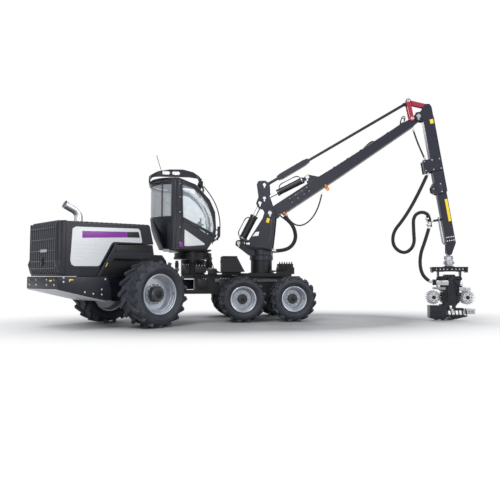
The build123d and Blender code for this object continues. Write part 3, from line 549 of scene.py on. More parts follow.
# Hood: shell with rounded edges, recessed engine bay side, side panels and grille.
hoodOutline = [(-4.04, 1.17), (-4.052, 2.29), (-4.02, 2.312), (-1.86, 2.398), (-1.815, 2.37), (-1.7, 1.935),
               (-2.66, 1.9), (-2.83, 1.86), (-3.12, 1.4), (-3.19, 1.17)]
shell = Shape()
shell.slab(hoodOutline, -0.66, 0.66)
shell.slab([(-3.15, 1.175), (-3.08, 1.42), (-2.8, 1.88), (-1.69, 1.925), (-1.64, 1.64), (-2.0, 1.565),
            (-2.75, 1.565), (-3.06, 1.175)], -0.612, 0.612)
for side in (-1, 1):
    shell.slab([(-3.22, 1.17), (-2.88, 1.7), (-2.78, 1.89), (-2.725, 1.89), (-2.83, 1.69), (-3.15, 1.17)],
               *across(side, 0.655, 0.69))
    for k in range(6):
        shell.box((0.03, 0.012, 0.02), (-2.6 + k * 0.13, side * 0.617, 1.6))
piece("hoodShell", shell, charcoal, "hood", bevel=0.028, segments=3, replaces=("hood",), place=rear)

cornerPillars = Shape()
for side in (-1, 1):
    cornerPillars.slab([(-4.075, side * 0.56), (-4.105, side * 0.6), (-4.09, side * 0.64),
                        (-4.04, side * 0.668), (-3.93, side * 0.674), (-3.93, side * 0.56)], 1.31, 2.3,
                       plane="XY")
    cornerPillars.slab([(-4.072, 1.56), (-4.118, 1.42), (-4.062, 1.225), (-4.03, 1.195), (-3.93, 1.195),
                        (-3.93, 1.33)], *across(side, 0.56, 0.668))
piece("hoodCorners", cornerPillars, charcoal, "hood", bevel=0.022, segments=3, place=rear)

panelOutline = [(-3.724, 2.209), (-2.16, 2.282), (-2.105, 2.25), (-2.04, 1.975), (-2.07, 1.95),
                (-2.8, 1.935), (-2.86, 1.9), (-3.15, 1.405), (-3.205, 1.386), (-3.74, 1.378), (-3.8, 1.41),
                (-3.828, 1.5), (-3.79, 2.16)]
sidePanels, trim, holes, bandPurple, bandDark, ribs, strips = (Shape() for _ in range(7))
for side in (-1, 1):
    sidePanels.slab(panelOutline, *across(side, 0.65, 0.676))
    bandPurple.slab([(-3.577, 2.127), (-2.47, 2.185), (-2.468, 2.057), (-3.574, 1.981)],
                    *across(side, 0.672, 0.6785))
    bandDark.slab([(-2.466, 2.185), (-2.149, 2.205), (-2.113, 2.072), (-2.464, 2.057)],
                  *across(side, 0.672, 0.6785))
    for k in range(5):
        z = 1.5 + k * 0.085
        reach = -3.09 + (z - 1.5) * 0.6
        ribs.slab([(-3.74, z), (reach - 0.05, z), (reach - 0.05, z + 0.01), (-3.74, z + 0.01)],
                  *across(side, 0.672, 0.6785))
    strips.slab([(-3.54, 2.292), (-1.94, 2.355), (-1.94, 2.376), (-3.54, 2.312)],
                *across(side, 0.65, 0.6625))
    for k in range(13):
        x = -3.5 + k * 0.121
        holes.slab([(x, 2.288 + (x + 4.0) * 0.0395), (x + 0.062, 2.29 + (x + 4.0) * 0.0395),
                    (x + 0.062, 2.318 + (x + 4.0) * 0.0395), (x, 2.316 + (x + 4.0) * 0.0395)],
                   *across(side, 0.652, 0.664))
    holes.slab([(-2.7, 1.86), (-1.76, 1.895), (-1.725, 1.745), (-2.74, 1.705)], *across(side, 0.606, 0.618))
    for i in range(9):
        for j in range(4):
            holes.box((0.026, 0.01, 0.022), (-3.585 + i * 0.044, side * 0.66, 1.215 + j * 0.036))
    trim.slab([(-2.985, 1.385), (-2.93, 1.47), (-2.905, 1.455), (-2.96, 1.37)], *across(side, 0.606, 0.617))
pieces("hood", rear, ("hoodSidePanels", sidePanels, palePanel, 0.007, "hood_panels"),
       ("hoodPanelRibs", ribs, palePanel, 0.003), ("hoodTopStrips", strips, slatGrey, 0.003),
       ("hoodHoles", holes, blackPart, 0.002), ("hoodBandPurple", bandPurple, purple, 0.001),
       ("hoodBandDark", bandDark, blackPart, 0.001), ("bayMarker", trim, yellowPaint, 0.001))

louvreRow = {"count": 13, "pitch": 0.0885, "half": 0.014}
louvres, badge, board = Shape(), Shape(), Shape()
board.box((0.03, 1.12, 1.06), (-4.03, 0, 1.74))
board.box((0.012, 1.06, 1.02), (-4.05, 0, 1.74))
for k in range(louvreRow["count"]):
    y = (k - louvreRow["count"] // 2) * louvreRow["pitch"]
    louvres.slab([(-4.062, 1.215), (-4.1, 1.3), (-4.106, 1.64), (-4.098, 2.24), (-4.06, 2.325),
                  (-3.86, 2.345), (-3.86, 2.325), (-4.045, 2.3), (-4.05, 1.215)], y - louvreRow["half"],
                 y + louvreRow["half"])
for z in (1.33, 1.48, 1.7, 1.94, 2.18):
    louvres.box((0.05, 1.11, 0.022), (-4.08, 0, z))
badge.box((0.01, 0.29, 0.062), (-4.108, -0.06, 1.705))
badge.box((0.016, 0.02, 0.02), (-4.106, 0.11, 1.705))
pieces("hood", rear, ("grilleBoard", board, blackPart, 0.004, "grille"),
       ("grilleSlats", louvres, slatGrey, 0.005), ("grillePlate", badge, zinc, 0.003))
latch = Shape()
latch.slab([(-0.055, 1.56), (0.055, 1.56), (0.055, 1.44), (0.0, 1.39), (-0.055, 1.44)], -4.126, -4.096,
           plane="YZ")
latch.turned([(0.02, 0), (0.02, 0.01), (0.012, 0.014)], (-4.126, 0, 1.5), (-1, 0, 0), 20)
piece("grilleLatch", latch, charcoal, "hood", bevel=0.006, place=rear)

# Bumper and belly plate: edges, bolts, markers and the pale skid plate.
bumper, belly, bumperBolts, bumperMarks = Shape(), Shape(), Shape(), Shape()
bumper.slab([(-4.11, 1.16), (-2.96, 1.16), (-2.88, 0.9), (-2.88, 0.655), (-3.0, 0.64), (-4.11, 0.905)],
            -0.694, 0.694)
bumper.box((0.02, 1.3, 0.016), (-4.12, 0, 1.12))
belly.slab([(-4.112, 0.9), (-3.01, 0.634), (-3.01, 0.618), (-4.112, 0.884)], -0.66, 0.66)
for side in (-1, 1):
    for y, z in ((0.56, 1.095), (0.56, 0.985), (0.24, 1.095), (0.24, 0.985)):
        bumperBolts.bolt((-4.11, side * y, z), (-1, 0, 0), 0.016, 0.012)
    for x, z in ((-3.98, 1.05), (-3.5, 0.83), (-3.1, 0.77), (-3.3, 0.79), (-3.1, 0.88), (-3.02, 1.1),
                 (-3.98, 1.13)):
        bumperBolts.bolt((x, side * 0.694, z), (0, side, 0), 0.014, 0.01)
    bumperMarks.slab([(-3.86, 1.105), (-3.77, 1.105), (-3.77, 1.082), (-3.835, 1.082), (-3.842, 1.05),
                      (-3.86, 1.05)], *across(side, 0.69, 0.6965))
bumperMarks.box((0.006, 0.11, 0.03), (-4.112, -0.405, 1.075))
pieces("rear_module", rear, ("bumperBox", bumper, charcoal, 0.012),
       ("bumperBolts", bumperBolts, zinc, 0.001), ("bumperMarkers", bumperMarks, yellowPaint, 0.001),
       ("bellyPlate", belly, beltSilver, 0.004))

# Rear frame between bumper and joint: side plates, axle housing with its bolts, blocks at the joint.
chassis = Shape()
for side in (-1, 1):
    chassis.slab([(-3.06, 1.12), (-3.06, 1.56), (-2.7, 1.7), (-1.25, 1.7), (-1.12, 1.56), (-1.0, 1.18),
                  (-2.78, 1.16)], *across(side, 0.38, 0.42))
    chassis.turned([(0.155, 0), (0.155, 0.18), (0.215, 0.2), (0.215, 0.3), (0.17, 0.32), (0.17, 0.44)],
                   (-1.958, side * 0.3, 0.76), (0, side, 0), 28)
    for u, v in circle(10, 0.19):
        chassis.bolt((-1.958 + u, side * 0.6, 0.76 + v), (0, side, 0), 0.012, 0.012)
    chassis.slab([(-1.3, 1.3), (-0.72, 1.24), (-0.55, 1.12), (-0.62, 1.06), (-1.3, 1.14)],
                 *across(side, 0.3, 0.4))
chassis.box((0.42, 0.52, 0.3), (-1.3, 0, 1.3))
chassis.box((0.2, 0.7, 0.11), (-0.93, 0, 1.21))
piece("rearChassisPlates", chassis, blackPart, "rear_module", bevel=0.01, place=rear)
print("rear built")

# Wheels: nuts, hub bolts, flange rings and a valve on each rim.
for name, place, x, y, kind in wheelTable:
    sizes = wheelSizes[kind]
    tyreRadius, rimRadius, hubRadius = sizes["tyre"], sizes["rim"], sizes["hub"]
    side = -1 if y < 0 else 1
    half, reach = sizes["width"] * 0.36, sizes["reach"]
    trimRings, nuts, hub = Shape(), Shape(), Shape()
    out = Vector((0, side, 0))
    for inset, depth, thick in ((-0.004, 0.012, 0.012), (0.026, -0.03, 0.007), (0.06, -0.1, 0.007)):
        trimRings.ring((x, y + side * (half + depth), tyreRadius), out, rimRadius - inset, thick)
    for u, v in circle(sizes["nuts"], hubRadius + 0.034):
        nuts.bolt((x + u, y + side * 0.066, tyreRadius + v), out, sizes["nut"], 0.024)
    for u, v in circle(10, hubRadius * 0.66, 0.5):
        hub.bolt((x + u, y + side * (reach - 0.004), tyreRadius + v), out, 0.011, 0.01)
    cap = ((0.52, 0), (0.5, 0.012), (0.22, 0.016), (0.2, 0.028), (0.08, 0.03))
    hub.turned([(hubRadius * share, deep) for share, deep in cap],
               (x, y + side * (reach - 0.003), tyreRadius), out, 32)
    hub.turned([(0.009, 0), (0.009, 0.05), (0.006, 0.055)],
               (x + (rimRadius - 0.04), y + side * (half - 0.06), tyreRadius), out, 12)
    pieces("wheel_" + name, place, ("rimRings_" + name, trimRings, rimSilver, 0),
           ("nuts_" + name, nuts, steel, 0.001), ("hubCap_" + name, hub, blackPart, 0.0015))
print("wheels dressed")

# Cab: frames round the windows, bars, sill panel, lamps, seat and desk. arcPoints moves an open line
# inward by inset, point by point along its normals.
def arcPoints(points, inset):
    spots = np.array(points, dtype=float)
    way = np.gradient(spots, axis=0)
    way /= np.linalg.norm(way, axis=1)[:, None]
    return (spots + inset * np.stack([way[:, 1], -way[:, 0]], axis=1)).tolist()


frontArc = [(-0.33, 3.64), (-0.06, 3.545), (0.19, 3.33), (0.37, 3.08), (0.48, 2.8), (0.53, 2.5),
            (0.52, 2.24)]
sideFrames, bands, sillPale, sillBadge, seals = (Shape() for _ in range(5))
for side in (-1, 1):
    face = 0.76 if side < 0 else 0.796
    def level(low, high):
        return across(side, face + low, face + high)
    inner, outer = arcPoints(frontArc, 0.045), arcPoints(frontArc, -0.02)
    sideFrames.slab(outer + inner[::-1], *level(-0.004, 0.022))
    sideFrames.slab([(-0.3, 2.72), (0.56, 2.27), (0.56, 2.19), (-0.3, 2.63)], *level(-0.004, 0.024))
    sideFrames.slab([(-0.43, 3.7), (-0.335, 3.7), (-0.3, 2.64), (-0.42, 1.91)], *level(-0.004, 0.026))
    sideFrames.slab([(-0.42, 1.905), (0.32, 1.905), (0.545, 2.2), (0.5, 2.24), (0.29, 1.96), (-0.4, 1.96)],
                    *level(-0.004, 0.022))
    if side < 0:
        low, high = arcPoints(frontArc[:6], 0.21), arcPoints(frontArc[:6], 0.165)
        bands.slab(high + low[::-1], *level(-0.03, -0.016))
        for k in (1, 2, 3, 4):
            a, b = Vector(arcPoints(frontArc, 0.045)[k]), Vector(arcPoints(frontArc, 0.17)[k])
            bands.slab([(a[0] - 0.006, a[1] - 0.006), (a[0] + 0.006, a[1] + 0.006),
                        (b[0] + 0.006, b[1] + 0.006), (b[0] - 0.006, b[1] - 0.006)], *level(-0.03, -0.014))
    sillPale.slab([(-0.265, 2.395), (-0.21, 2.36), (0.25, 2.035), (0.262, 1.995), (-0.235, 1.95),
                   (-0.27, 1.975)], *level(0.002, 0.008))
    if side < 0:
        sillBadge.slab([(-0.396, 2.058), (-0.31, 2.062), (-0.31, 1.945), (-0.396, 1.935)],
                       *level(0.02, 0.0275))
        for z in (2.05, 2.45, 2.85, 3.25, 3.6):
            seals.bolt((-0.385, side * (face + 0.025), z), (0, side, 0), 0.009, 0.006)
pieces("cab", cab, ("cabSideFrames", sideFrames, charcoal, 0.006),
       ("cabGlassBands", bands, beltSilver, 0.002), ("cabSillPanel", sillPale, palePanel, 0.002),
       ("cabSillBadge", sillBadge, purple, 0.001), ("cabScrews", seals, steel, 0))

# Round back: frame rings, posts and a lower shroud that narrows to the turntable. backArc gives its
# points seen from above, scaled about its own middle.
def backArc(radiusScale, count=17):
    angles = np.linspace(math.radians(-62), math.radians(62), count)
    return [(-0.15 - 1.02 * radiusScale * math.cos(a), 0.86 * radiusScale * math.sin(a)) for a in angles]


rings, shroud, backPosts = Shape(), Shape(), Shape()
for z, tall, scale in ((3.62, 0.075, 1.004), (2.715, 0.06, 1.004), (3.7, 0.03, 1.02)):
    outer, inner = backArc(scale), backArc(scale - 0.03)
    rings.slab(outer + inner[::-1], z - tall / 2, z + tall / 2, plane="XY")
shroudLevels = [(2.7, 1.0), (2.45, 0.975), (2.2, 0.9), (1.98, 0.8), (1.9, 0.77)]
shroudColumns = 25
outerGrid = [(x, y, z) for z, scale in shroudLevels for x, y in backArc(scale, shroudColumns)]
innerGrid = [(x + 0.02, y, z) for z, scale in shroudLevels for x, y in backArc(scale - 0.03, shroudColumns)]
n = shroudColumns
quads = [(i * n + k, i * n + k + 1, (i + 1) * n + k + 1, (i + 1) * n + k)
         for i in range(len(shroudLevels) - 1) for k in range(n - 1)]
for sheet in (outerGrid, innerGrid):
    shroud.add(sheet, quads)
for k in (2, 14):
    x, y = backArc(1.006)[k]
    backPosts.box((0.03, 0.05, 0.9), (x, y, 3.17))
for side in (-1, 1):
    x, y = -0.56, side * 0.752
    backPosts.box((0.055, 0.035, 1.78), (x + 0.06, y, 2.8))
pieces("cab", cab, ("cabBackRings", rings, charcoal, 0.006), ("cabBackShroud", shroud, charcoal, 0),
       ("cabBackPosts", backPosts, charcoal, 0.008))

# Lamps in the roof ring and on the front rail, with bright faces.
lampRims, lampGlass, lampBodies = Shape(), Shape(), Shape()
for x in (-0.76, -0.5):
    for side in (-1, 1):
        lampRims.ring((x, side * 0.752, 3.868), (0, side, 0), 0.04, 0.005, 28)
        lampGlass.turned([(0.038, 0), (0.036, 0.004), (0.02, 0.007)], (x, side * 0.749, 3.868), (0, side, 0),
                         24)
for y in (-0.56, -0.34, -0.115, 0.115, 0.34, 0.56):
    lampRims.ring((0.216, y, 3.675), (1, 0, 0), 0.05, 0.006, 28)
    lampGlass.turned([(0.047, 0), (0.044, 0.005), (0.02, 0.009)], (0.214, y, 3.675), (1, 0, 0), 24)
    lampBodies.box((0.03, 0.014, 0.09), (0.15, y, 3.735))
for side in (-1, 1):
    lampBodies.slab([(0.6, 2.235), (0.665, 2.25), (0.678, 2.48), (0.6, 2.495)], *across(side, 0.69, 0.752))
    lampGlass.slab([(0.676, 2.262), (0.684, 2.268), (0.684, 2.35), (0.676, 2.356)],
                   *across(side, 0.697, 0.745))
    lampGlass.slab([(0.676, 2.372), (0.684, 2.378), (0.684, 2.462), (0.676, 2.468)],
                   *across(side, 0.697, 0.745))
pieces("cab", cab, ("lampRims", lampRims, zinc, 0), ("lampFaces", lampGlass, lampFace, 0),
       ("lampBodies", lampBodies, blackPart, 0.005))
guardLines = []
for side in (-1, 1):
    guardLines.append([(0.23, side * 0.7, 3.56), (0.42, side * 0.715, 3.33), (0.59, side * 0.72, 3.0),
                       (0.67, side * 0.72, 2.65), (0.66, side * 0.72, 2.33), (0.6, side * 0.715, 2.12)])
    guardLines.append([(0.6, side * 0.715, 2.2), (0.56, side * 0.74, 2.14), (0.48, side * 0.752, 2.1)])
for z, x in ((2.33, 0.655), (2.19, 0.635)):
    guardLines.append([(x, -0.72, z), (x, 0, z), (x, 0.72, z)])
pipe("cabGuardBars", guardLines, 0.014, charcoal, "cab", cab)
pipe("cabWiper", [[(0.585, 0.05, 2.23), (0.6, 0.06, 2.5), (0.56, 0.1, 2.9)],
                  [(0.54, -0.02, 2.86), (0.56, 0.1, 2.9), (0.54, 0.24, 2.94)]], 0.008, blackPart, "cab", cab)


# Crowned pad: a rounded block whose faces swell and whose edges pull in, with sewn channels across it.
def cushion(name, size, middle, tilt, body, place, puff=0.3, channels=3):
    count = 26
    u = np.linspace(-1, 1, count)
    shape = Shape()
    for axis in range(3):
        for end in (-1, 1):
            a, b = np.meshgrid(u, u)
            sides = [a, b]
            sides.insert(axis, np.full_like(a, end))
            cube = np.stack(sides, axis=-1)
            # Rounded block: each coordinate eased by the other two, then crowned across the thin way.
            square = cube ** 2
            second, third = np.roll(square, 1, -1), np.roll(square, 2, -1)
            ball = cube * np.sqrt(np.clip(1 - second / 2 - third / 2 + second * third / 3, 0, 1))
            form = cube * 0.62 + ball * 0.38
            crown = 1 + puff * (1 - form[..., 0] ** 2) * (1 - form[..., 1] ** 2)
            seam = 1 - 0.1 * np.exp(-((np.mod((form[..., 0] + 1) * channels / 2, 1) - 0.5) / 0.07) ** 2)
            form[..., 2] *= crown * seam * 0.78
            flat = form.reshape(-1, 3) * np.array(size) / 2
            faces = [(i * count + k, i * count + k + 1, (i + 1) * count + k + 1, (i + 1) * count + k)
                     for i in range(count - 1) for k in range(count - 1)]
            shape.add(flat.tolist(), faces)
    spot = place @ Matrix.Translation(middle) @ turn(tilt, "Y")
    made = piece(name, shape, seatCloth, body, bevel=0, place=spot)
    weld = made.modifiers.new("weld", "WELD")
    weld.merge_threshold = 0.0008
    made.data.polygons.foreach_set("use_smooth", np.ones(len(made.data.polygons), dtype=bool))
    return made


seatTable = {
    "seatCushion": {"size": (0.5, 0.48, 0.13), "middle": (-0.165, 0, 2.325), "tilt": 4},
    "seatBack": {"size": (0.66, 0.46, 0.14), "middle": (-0.42, 0, 2.69), "tilt": -78},
    "headRest": {"size": (0.2, 0.26, 0.1), "middle": (-0.492, 0, 3.03), "tilt": -80, "channels": 1}}
seatPads = [cushion(name, body="cab", place=cab, **sizes) for name, sizes in seatTable.items()]
seatBase = Shape()
seatBase.turned([(0.15, 0), (0.15, 0.02), (0.09, 0.05), (0.085, 0.14), (0.12, 0.17)], (-0.18, 0, 1.924),
                (0, 0, 1), 28)
seatBase.box((0.34, 0.32, 0.03), (-0.18, 0, 2.115))
for k in range(5):
    seatBase.box((0.3 - 0.012 * (k % 2), 0.28 - 0.012 * (k % 2), 0.02), (-0.18, 0, 2.14 + k * 0.021))
seatBase.slab([(-0.44, 2.25), (-0.59, 2.98), (-0.56, 2.99), (-0.4, 2.26)], -0.2, 0.2)
piece("seatBase", seatBase, plastic, "cab", bevel=0.006, place=cab)
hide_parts("seat")
desk, deskBright = Shape(), Shape()
for side in (-1, 1):
    desk.slab([(-0.24, 2.6), (0.2, 2.6), (0.262, 2.57), (0.2, 2.52), (-0.24, 2.52)], side * 0.37 - 0.075,
              side * 0.37 + 0.075)
    desk.turned([(0.03, 0), (0.022, 0.04), (0.019, 0.09), (0.028, 0.125), (0.02, 0.145)],
                (0.17, side * 0.37, 2.6), (0.1, 0, 1), 24)
    desk.box((0.08, 0.09, 0.22), (-0.26, side * 0.333, 2.43))
    for k in range(5):
        deskBright.box((0.022, 0.016, 0.008), (-0.02 + k * 0.034, side * 0.37 + 0.03, 2.604))
desk.box((0.05, 0.3, 0.21), (0.35, -0.3, 2.7))
desk.rod((0.35, -0.3, 2.6), (0.35, -0.3, 2.02), 0.018)
desk.slab([(0.3, 2.06), (0.36, 2.06), (0.38, 2.4), (0.33, 2.4)], -0.15, 0.15)
for y in (-0.11, 0.11):
    desk.slab([(0.06, 1.945), (0.26, 2.04), (0.275, 2.03), (0.1, 1.925)], y - 0.06, y + 0.06)
deskBright.box((0.006, 0.26, 0.17), (0.322, -0.3, 2.7))
piece("cabDesk", desk, plastic, "cab", bevel=0.006, replaces=("consoles",), place=cab)
piece("cabScreen", deskBright, steel, "cab", bevel=0.001, place=cab)
marker = Shape().box((0.02, 0.07, 0.11), (0.44, -0.56, 2.56))
piece("cabReflector", marker, orangePaint, "cab", bevel=0.006, place=cab)
print("cab dressed")

# Under the cab: ring bolts, motors, valve banks and pipes round the joint.
under, underBright = Shape(), Shape()
for u, v in circle(24, 0.49):
    under.bolt((0.12 + u, v, 1.7), (0, 0, 1), 0.013, 0.012)
for x, y, r, tall in ((0.56, -0.33, 0.06, 0.26), (-0.33, -0.38, 0.05, 0.2), (0.56, 0.33, 0.06, 0.26)):
    under.turned([(r, 0), (r, tall * 0.7), (r * 0.8, tall * 0.75), (r * 0.8, tall)], (x, y, 1.39), (0, 0, 1),
                 24)
for x, y, z, sx, sy, sz in ((0.3, -0.385, 1.36, 0.3, 0.12, 0.18), (-0.1, -0.36, 1.36, 0.2, 0.1, 0.24),
                            (0.62, -0.4, 1.3, 0.24, 0.14, 0.14), (0.3, 0.385, 1.36, 0.3, 0.12, 0.18),
                            (0.95, -0.385, 0.95, 0.3, 0.1, 0.3), (0.35, -0.38, 0.98, 0.26, 0.09, 0.22)):
    under.box((sx, sy, sz), (x, y, z))
    for k in range(4):
        underBright.turned([(0.016, 0), (0.016, 0.018), (0.01, 0.02), (0.01, 0.036)],
                           (x - sx * 0.36 + k * sx * 0.24, y, z + sz / 2), (0, 0, 1), 6)
under.turned([(0.11, 0), (0.13, 0.02), (0.13, 0.05), (0.11, 0.07)], (0, 0, 1.232), (0, 0, 1), 32)
for u, v in circle(10, 0.085):
    under.bolt((u, v, 1.3), (0, 0, 1), 0.011, 0.01)
pieces("front_frame", machine, ("jointBlocks", under, blackPart, 0.006),
       ("jointFittings", underBright, zinc, 0.001))
pipeLines = []
for k in range(7):
    y = -0.3 - 0.022 * k
    pipeLines.append([(0.18 + 0.05 * k, y, 1.47), (0.12 + 0.06 * k, y - 0.05, 1.6),
                      (0.3 + 0.05 * k, y - 0.06, 1.56), (0.42 + 0.04 * k, y, 1.32),
                      (0.7 + 0.03 * k, y + 0.01, 1.27)])
    pipeLines.append([(-0.12 + 0.03 * k, -0.33, 1.48), (-0.16 + 0.05 * k, -0.4, 1.56 + 0.01 * k),
                      (0.02 + 0.05 * k, -0.42, 1.3), (0.2 + 0.05 * k, -0.395, 1.06)])
pipe("jointHoses", pipeLines, 0.011, blackRubber, "front_frame", machine)
frameRows = [(-0.352 - 0.02 * k, 1.1 - 0.03 * k) for k in range(3)]
pipe("framePipes", [[(x, y, z) for x in (0.7, 1.6, 2.8)] for y, z in frameRows], 0.01, steel, "front_frame",
     machine)

# Crane bed: flange bolts, valve bank and the tool box lid.
bed = Shape()
for u, v in circle(20, 0.345):
    bed.bolt((2.05 + u, v, 1.26), (0, 0, 1), 0.015, 0.014)
bed.turned([(0.39, 0), (0.39, 0.03), (0.36, 0.036)], (2.05, 0, 1.225), (0, 0, 1), 48)
for k in range(6):
    bed.box((0.055, 0.3, 0.11), (2.505 + k * 0.068, -0.25, 1.47))
    bed.turned([(0.018, 0), (0.018, 0.03), (0.011, 0.034), (0.011, 0.06)], (2.505 + k * 0.068, -0.33, 1.524),
               (0, 0, 1), 12)
bed.slab([(0.85, 1.68), (1.215, 1.68), (1.228, 1.7), (0.838, 1.7)], -0.975, -0.525)
bed.box((0.03, 0.11, 0.05), (0.812, -0.75, 1.56))
for x in (0.92, 1.12):
    bed.box((0.04, 0.012, 0.06), (x, -0.946, 1.64))
piece("craneBed", bed, blackPart, "front_frame", bevel=0.004, place=machine)
pipe("bedHoses", [[(2.52 + 0.068 * k, -0.41, 1.47), (2.5 + 0.06 * k, -0.52 - 0.008 * k, 1.46),
                   (2.36 + 0.04 * k, -0.46, 1.3), (2.2, -0.42, 1.275 + 0.012 * k)] for k in range(6)], 0.012,
     blackRubber, "front_frame", machine)
boxes = Shape()
for side in (-1, 1):
    for x in (1.33, 2.661):
        boxes.turned([(0.12, 0), (0.12, 0.02), (0.165, 0.03), (0.165, 0.07), (0.12, 0.09)],
                     (x, side * 0.6, 0.585), (0, side, 0), 32)
    for x in (1.55, 1.78, 2.2, 2.43):
        boxes.bolt((x, side * 0.729, 0.7), (0, side, 0), 0.014, 0.012)
    boxes.slab([(1.72, 0.8), (2.27, 0.8), (2.15, 0.66), (1.84, 0.66)], *across(side, 0.58, 0.6))
piece("bogieDetails", boxes, blackPart, "front_frame", bevel=0.004, place=machine)
print("front built")

# Crane pins, in the crane's plane at the height given.
pinTable = (
    ("crane_post", (0.28, 2.948), 0.215, 0.058), ("crane_post", (-0.617, 2.11), 0.204, 0.052),
    ("rocker", (-0.016, 3.243), 0.14, 0.05), ("rocker", (0.114, 3.38), 0.14, 0.046),
    ("rocker", (0.115, 3.763), 0.14, 0.046), ("boom", (1.319, 3.948), 0.092, 0.056),
    ("jib", (4.328, 5.513), 0.094, 0.056))
pinShapes = {}
for body, (x, z), y, radius in pinTable:
    shape = pinShapes.setdefault(body, Shape())
    for side in (-1, 1):
        shape.pin((x, side * y, z), (0, side, 0), radius, 0.016)
        shape.slab([(x - 0.02, z - radius - 0.05), (x + 0.02, z - radius - 0.05),
                    (x + 0.02, z - radius * 0.6), (x - 0.02, z - radius * 0.6)], *across(side, y, y + 0.008))
        shape.bolt((x, side * (y + 0.008), z - radius - 0.03), (0, side, 0), 0.01, 0.008)
for body, shape in pinShapes.items():
    piece("pins_" + body, shape, zinc, body, bevel=0.002, place=crane)
linkPins, jibPins = Shape(), Shape()
for side in (-1, 1):
    linkPins.pin((4.603, side * 0.152, 0.03), (0, side, 0), 0.046, 0.014)
    linkPins.pin((4.79, side * 0.152, 0.495), (0, side, 0), 0.046, 0.014)
    jibPins.pin((5.134, side * 0.066, 0.091), (0, side, 0), 0.052, 0.014)
piece("shortLinkPins", linkPins, zinc, "short_link", bevel=0.002, place=boomAxis)
piece("upperLinkPins", jibPins, zinc, "upper_link", bevel=0.002, place=boomAxis)

# Boom: edge flanges, side plates with screws, pipe run with clamps, lifting shackles.
flanges, clamps, shackles, boomScrews = Shape(), Shape(), Shape(), Shape()
for side in (-1, 1):
    flanges.slab([(0.1, -0.168), (0.46, -0.214), (2.15, -0.204), (4.5, -0.15), (4.5, -0.138), (2.15, -0.19),
                  (0.46, -0.2), (0.1, -0.152)], *across(side, 0.1, 0.113))
    flanges.slab([(0.1, 0.12), (1.5, 0.12), (2.15, 0.086), (4.4, 0.06), (4.4, 0.07), (2.15, 0.097),
                  (1.5, 0.131), (0.1, 0.133)], *across(side, 0.1, 0.111))
    flanges.slab([(0.62, -0.1), (1.3, -0.07), (1.3, 0.06), (0.62, 0.07)], *across(side, 0.1, 0.11))
    for u in (0.68, 0.88, 1.08, 1.24):
        for v in (-0.07, 0.045):
            boomScrews.bolt((u, side * 0.11, v), (0, side, 0), 0.009, 0.007)
for u in np.linspace(1.75, 4.3, 7):
    top = 0.1 - (u - 1.7) * 0.012
    clamps.box((0.05, 0.15, 0.034), (u, 0, top + 0.01))
    clamps.bolt((u, 0, top + 0.027), (0, 0, 1), 0.01, 0.008)
clamps.slab([(2.95, 0.088), (3.48, 0.083), (3.43, 0.148), (3.33, 0.155)], -0.03, 0.03)
for u in (0.33, 1.7):
    shackles.ring((u, 0, -0.3), (0, 1, 0), 0.036, 0.011, 40)
    for low, high in ((-0.122, -0.104), (0.104, 0.122)):
        shackles.slab([(u - 0.026, -0.185), (u + 0.026, -0.185), (u + 0.018, -0.238), (u - 0.018, -0.238)],
                      low, high)
    shackles.turned([(0.02, 0), (0.02, 0.016), (0.012, 0.02)], (u, -0.122, -0.195), (0, -1, 0), 16)
pieces("boom", boomAxis, ("boomFlanges", flanges, craneCoat, 0.003),
       ("boomClamps", clamps, blackPart, 0.004), ("boomScrews", boomScrews, steel, 0.001),
       ("boomShackles", shackles, orangePaint, 0.003))
pipe("boomPipes", [[(1.62, y, 0.136), (1.9, y, 0.116), (2.6, y, 0.106), (3.5, y, 0.096), (4.25, y, 0.086),
                    (4.42, y, 0.1)] for y in (-0.045, 0, 0.045)], 0.011, steel, "boom", boomAxis)
pipe("boomTipHoses", [[(4.42, y, 0.1), (4.52, y * 1.2, 0.19), (4.44, y * 1.4, 0.245), (4.34, y, 0.15),
                       (4.3, y, 0.092)] for y in (-0.06, 0.06)], 0.012, blackRubber, "boom", boomAxis)

# Long link: collars, and two seams on its deep middle part.
collars = Shape()
linkStart, linkTip = Vector((0.115, 0, 3.763)), boomAxis @ Vector((4.79, 0, 0.495))
alongLink = linkTip - crane @ linkStart
linkLength = alongLink.length
linkRise = math.degrees(math.asin(alongLink.z / linkLength))
linkAxis = crane @ Matrix.Translation(linkStart) @ turn(-linkRise, "Y")
for u, r in ((0.43, 0.07), (1.395, 0.062), (0.11, 0.052), (linkLength - 0.11, 0.05)):
    collars.turned([(r, -0.02), (r, 0.02)], (u, 0, 0), (1, 0, 0), 28)
for u in (0.56, 1.23):
    collars.box((0.014, 0.148, 0.15), (u, 0, -0.004))
piece("linkCollars", collars, craneCoat, "long_link", bevel=0.003, place=linkAxis)

# Cylinders: gland nuts, port blocks and their hoses.
def cylinderKit(body, start, end, length, radius):
    way = Vector((end[0] - start[0], 0, end[1] - start[1])).normalized()
    up = Vector((-abs(way.z), 0, abs(way.x)))
    kit = Shape()
    foot = Vector((start[0], 0, start[1]))
    kit.turned([(radius + 0.012, 0), (radius + 0.012, 0.05), (radius + 0.004, 0.056)],
               foot + way * (length - 0.04), way, 8)
    kit.turned([(radius + 0.006, 0), (radius + 0.006, 0.03)], foot + way * 0.16, way, 32)
    for d in (0.2, length - 0.1):
        kit.turned([(0.022, 0), (0.022, 0.045), (0.014, 0.05)], foot + way * d + up * (radius - 0.006), up,
                   6)
    piece(body + "_kit", kit, steel, body, bevel=0.002, place=crane)
    first, last = 0.2, length - 0.1
    lines = []
    for k, y in enumerate((-0.03, 0.03)):
        stops = ((first, 0.035, 0.3), (first + 0.04, 0.1, 1), ((first + last) / 2, 0.085 + 0.02 * k, 1),
                 (last - 0.04, 0.1, 1), (last, 0.035, 0.3))
        line = [foot + way * d + up * (radius + h) + Vector((0, y * share, 0)) for d, h, share in stops]
        lines.append([tuple(spot) for spot in line])
    pipe(body + "_hoses", lines, 0.011, blackRubber, body, crane)


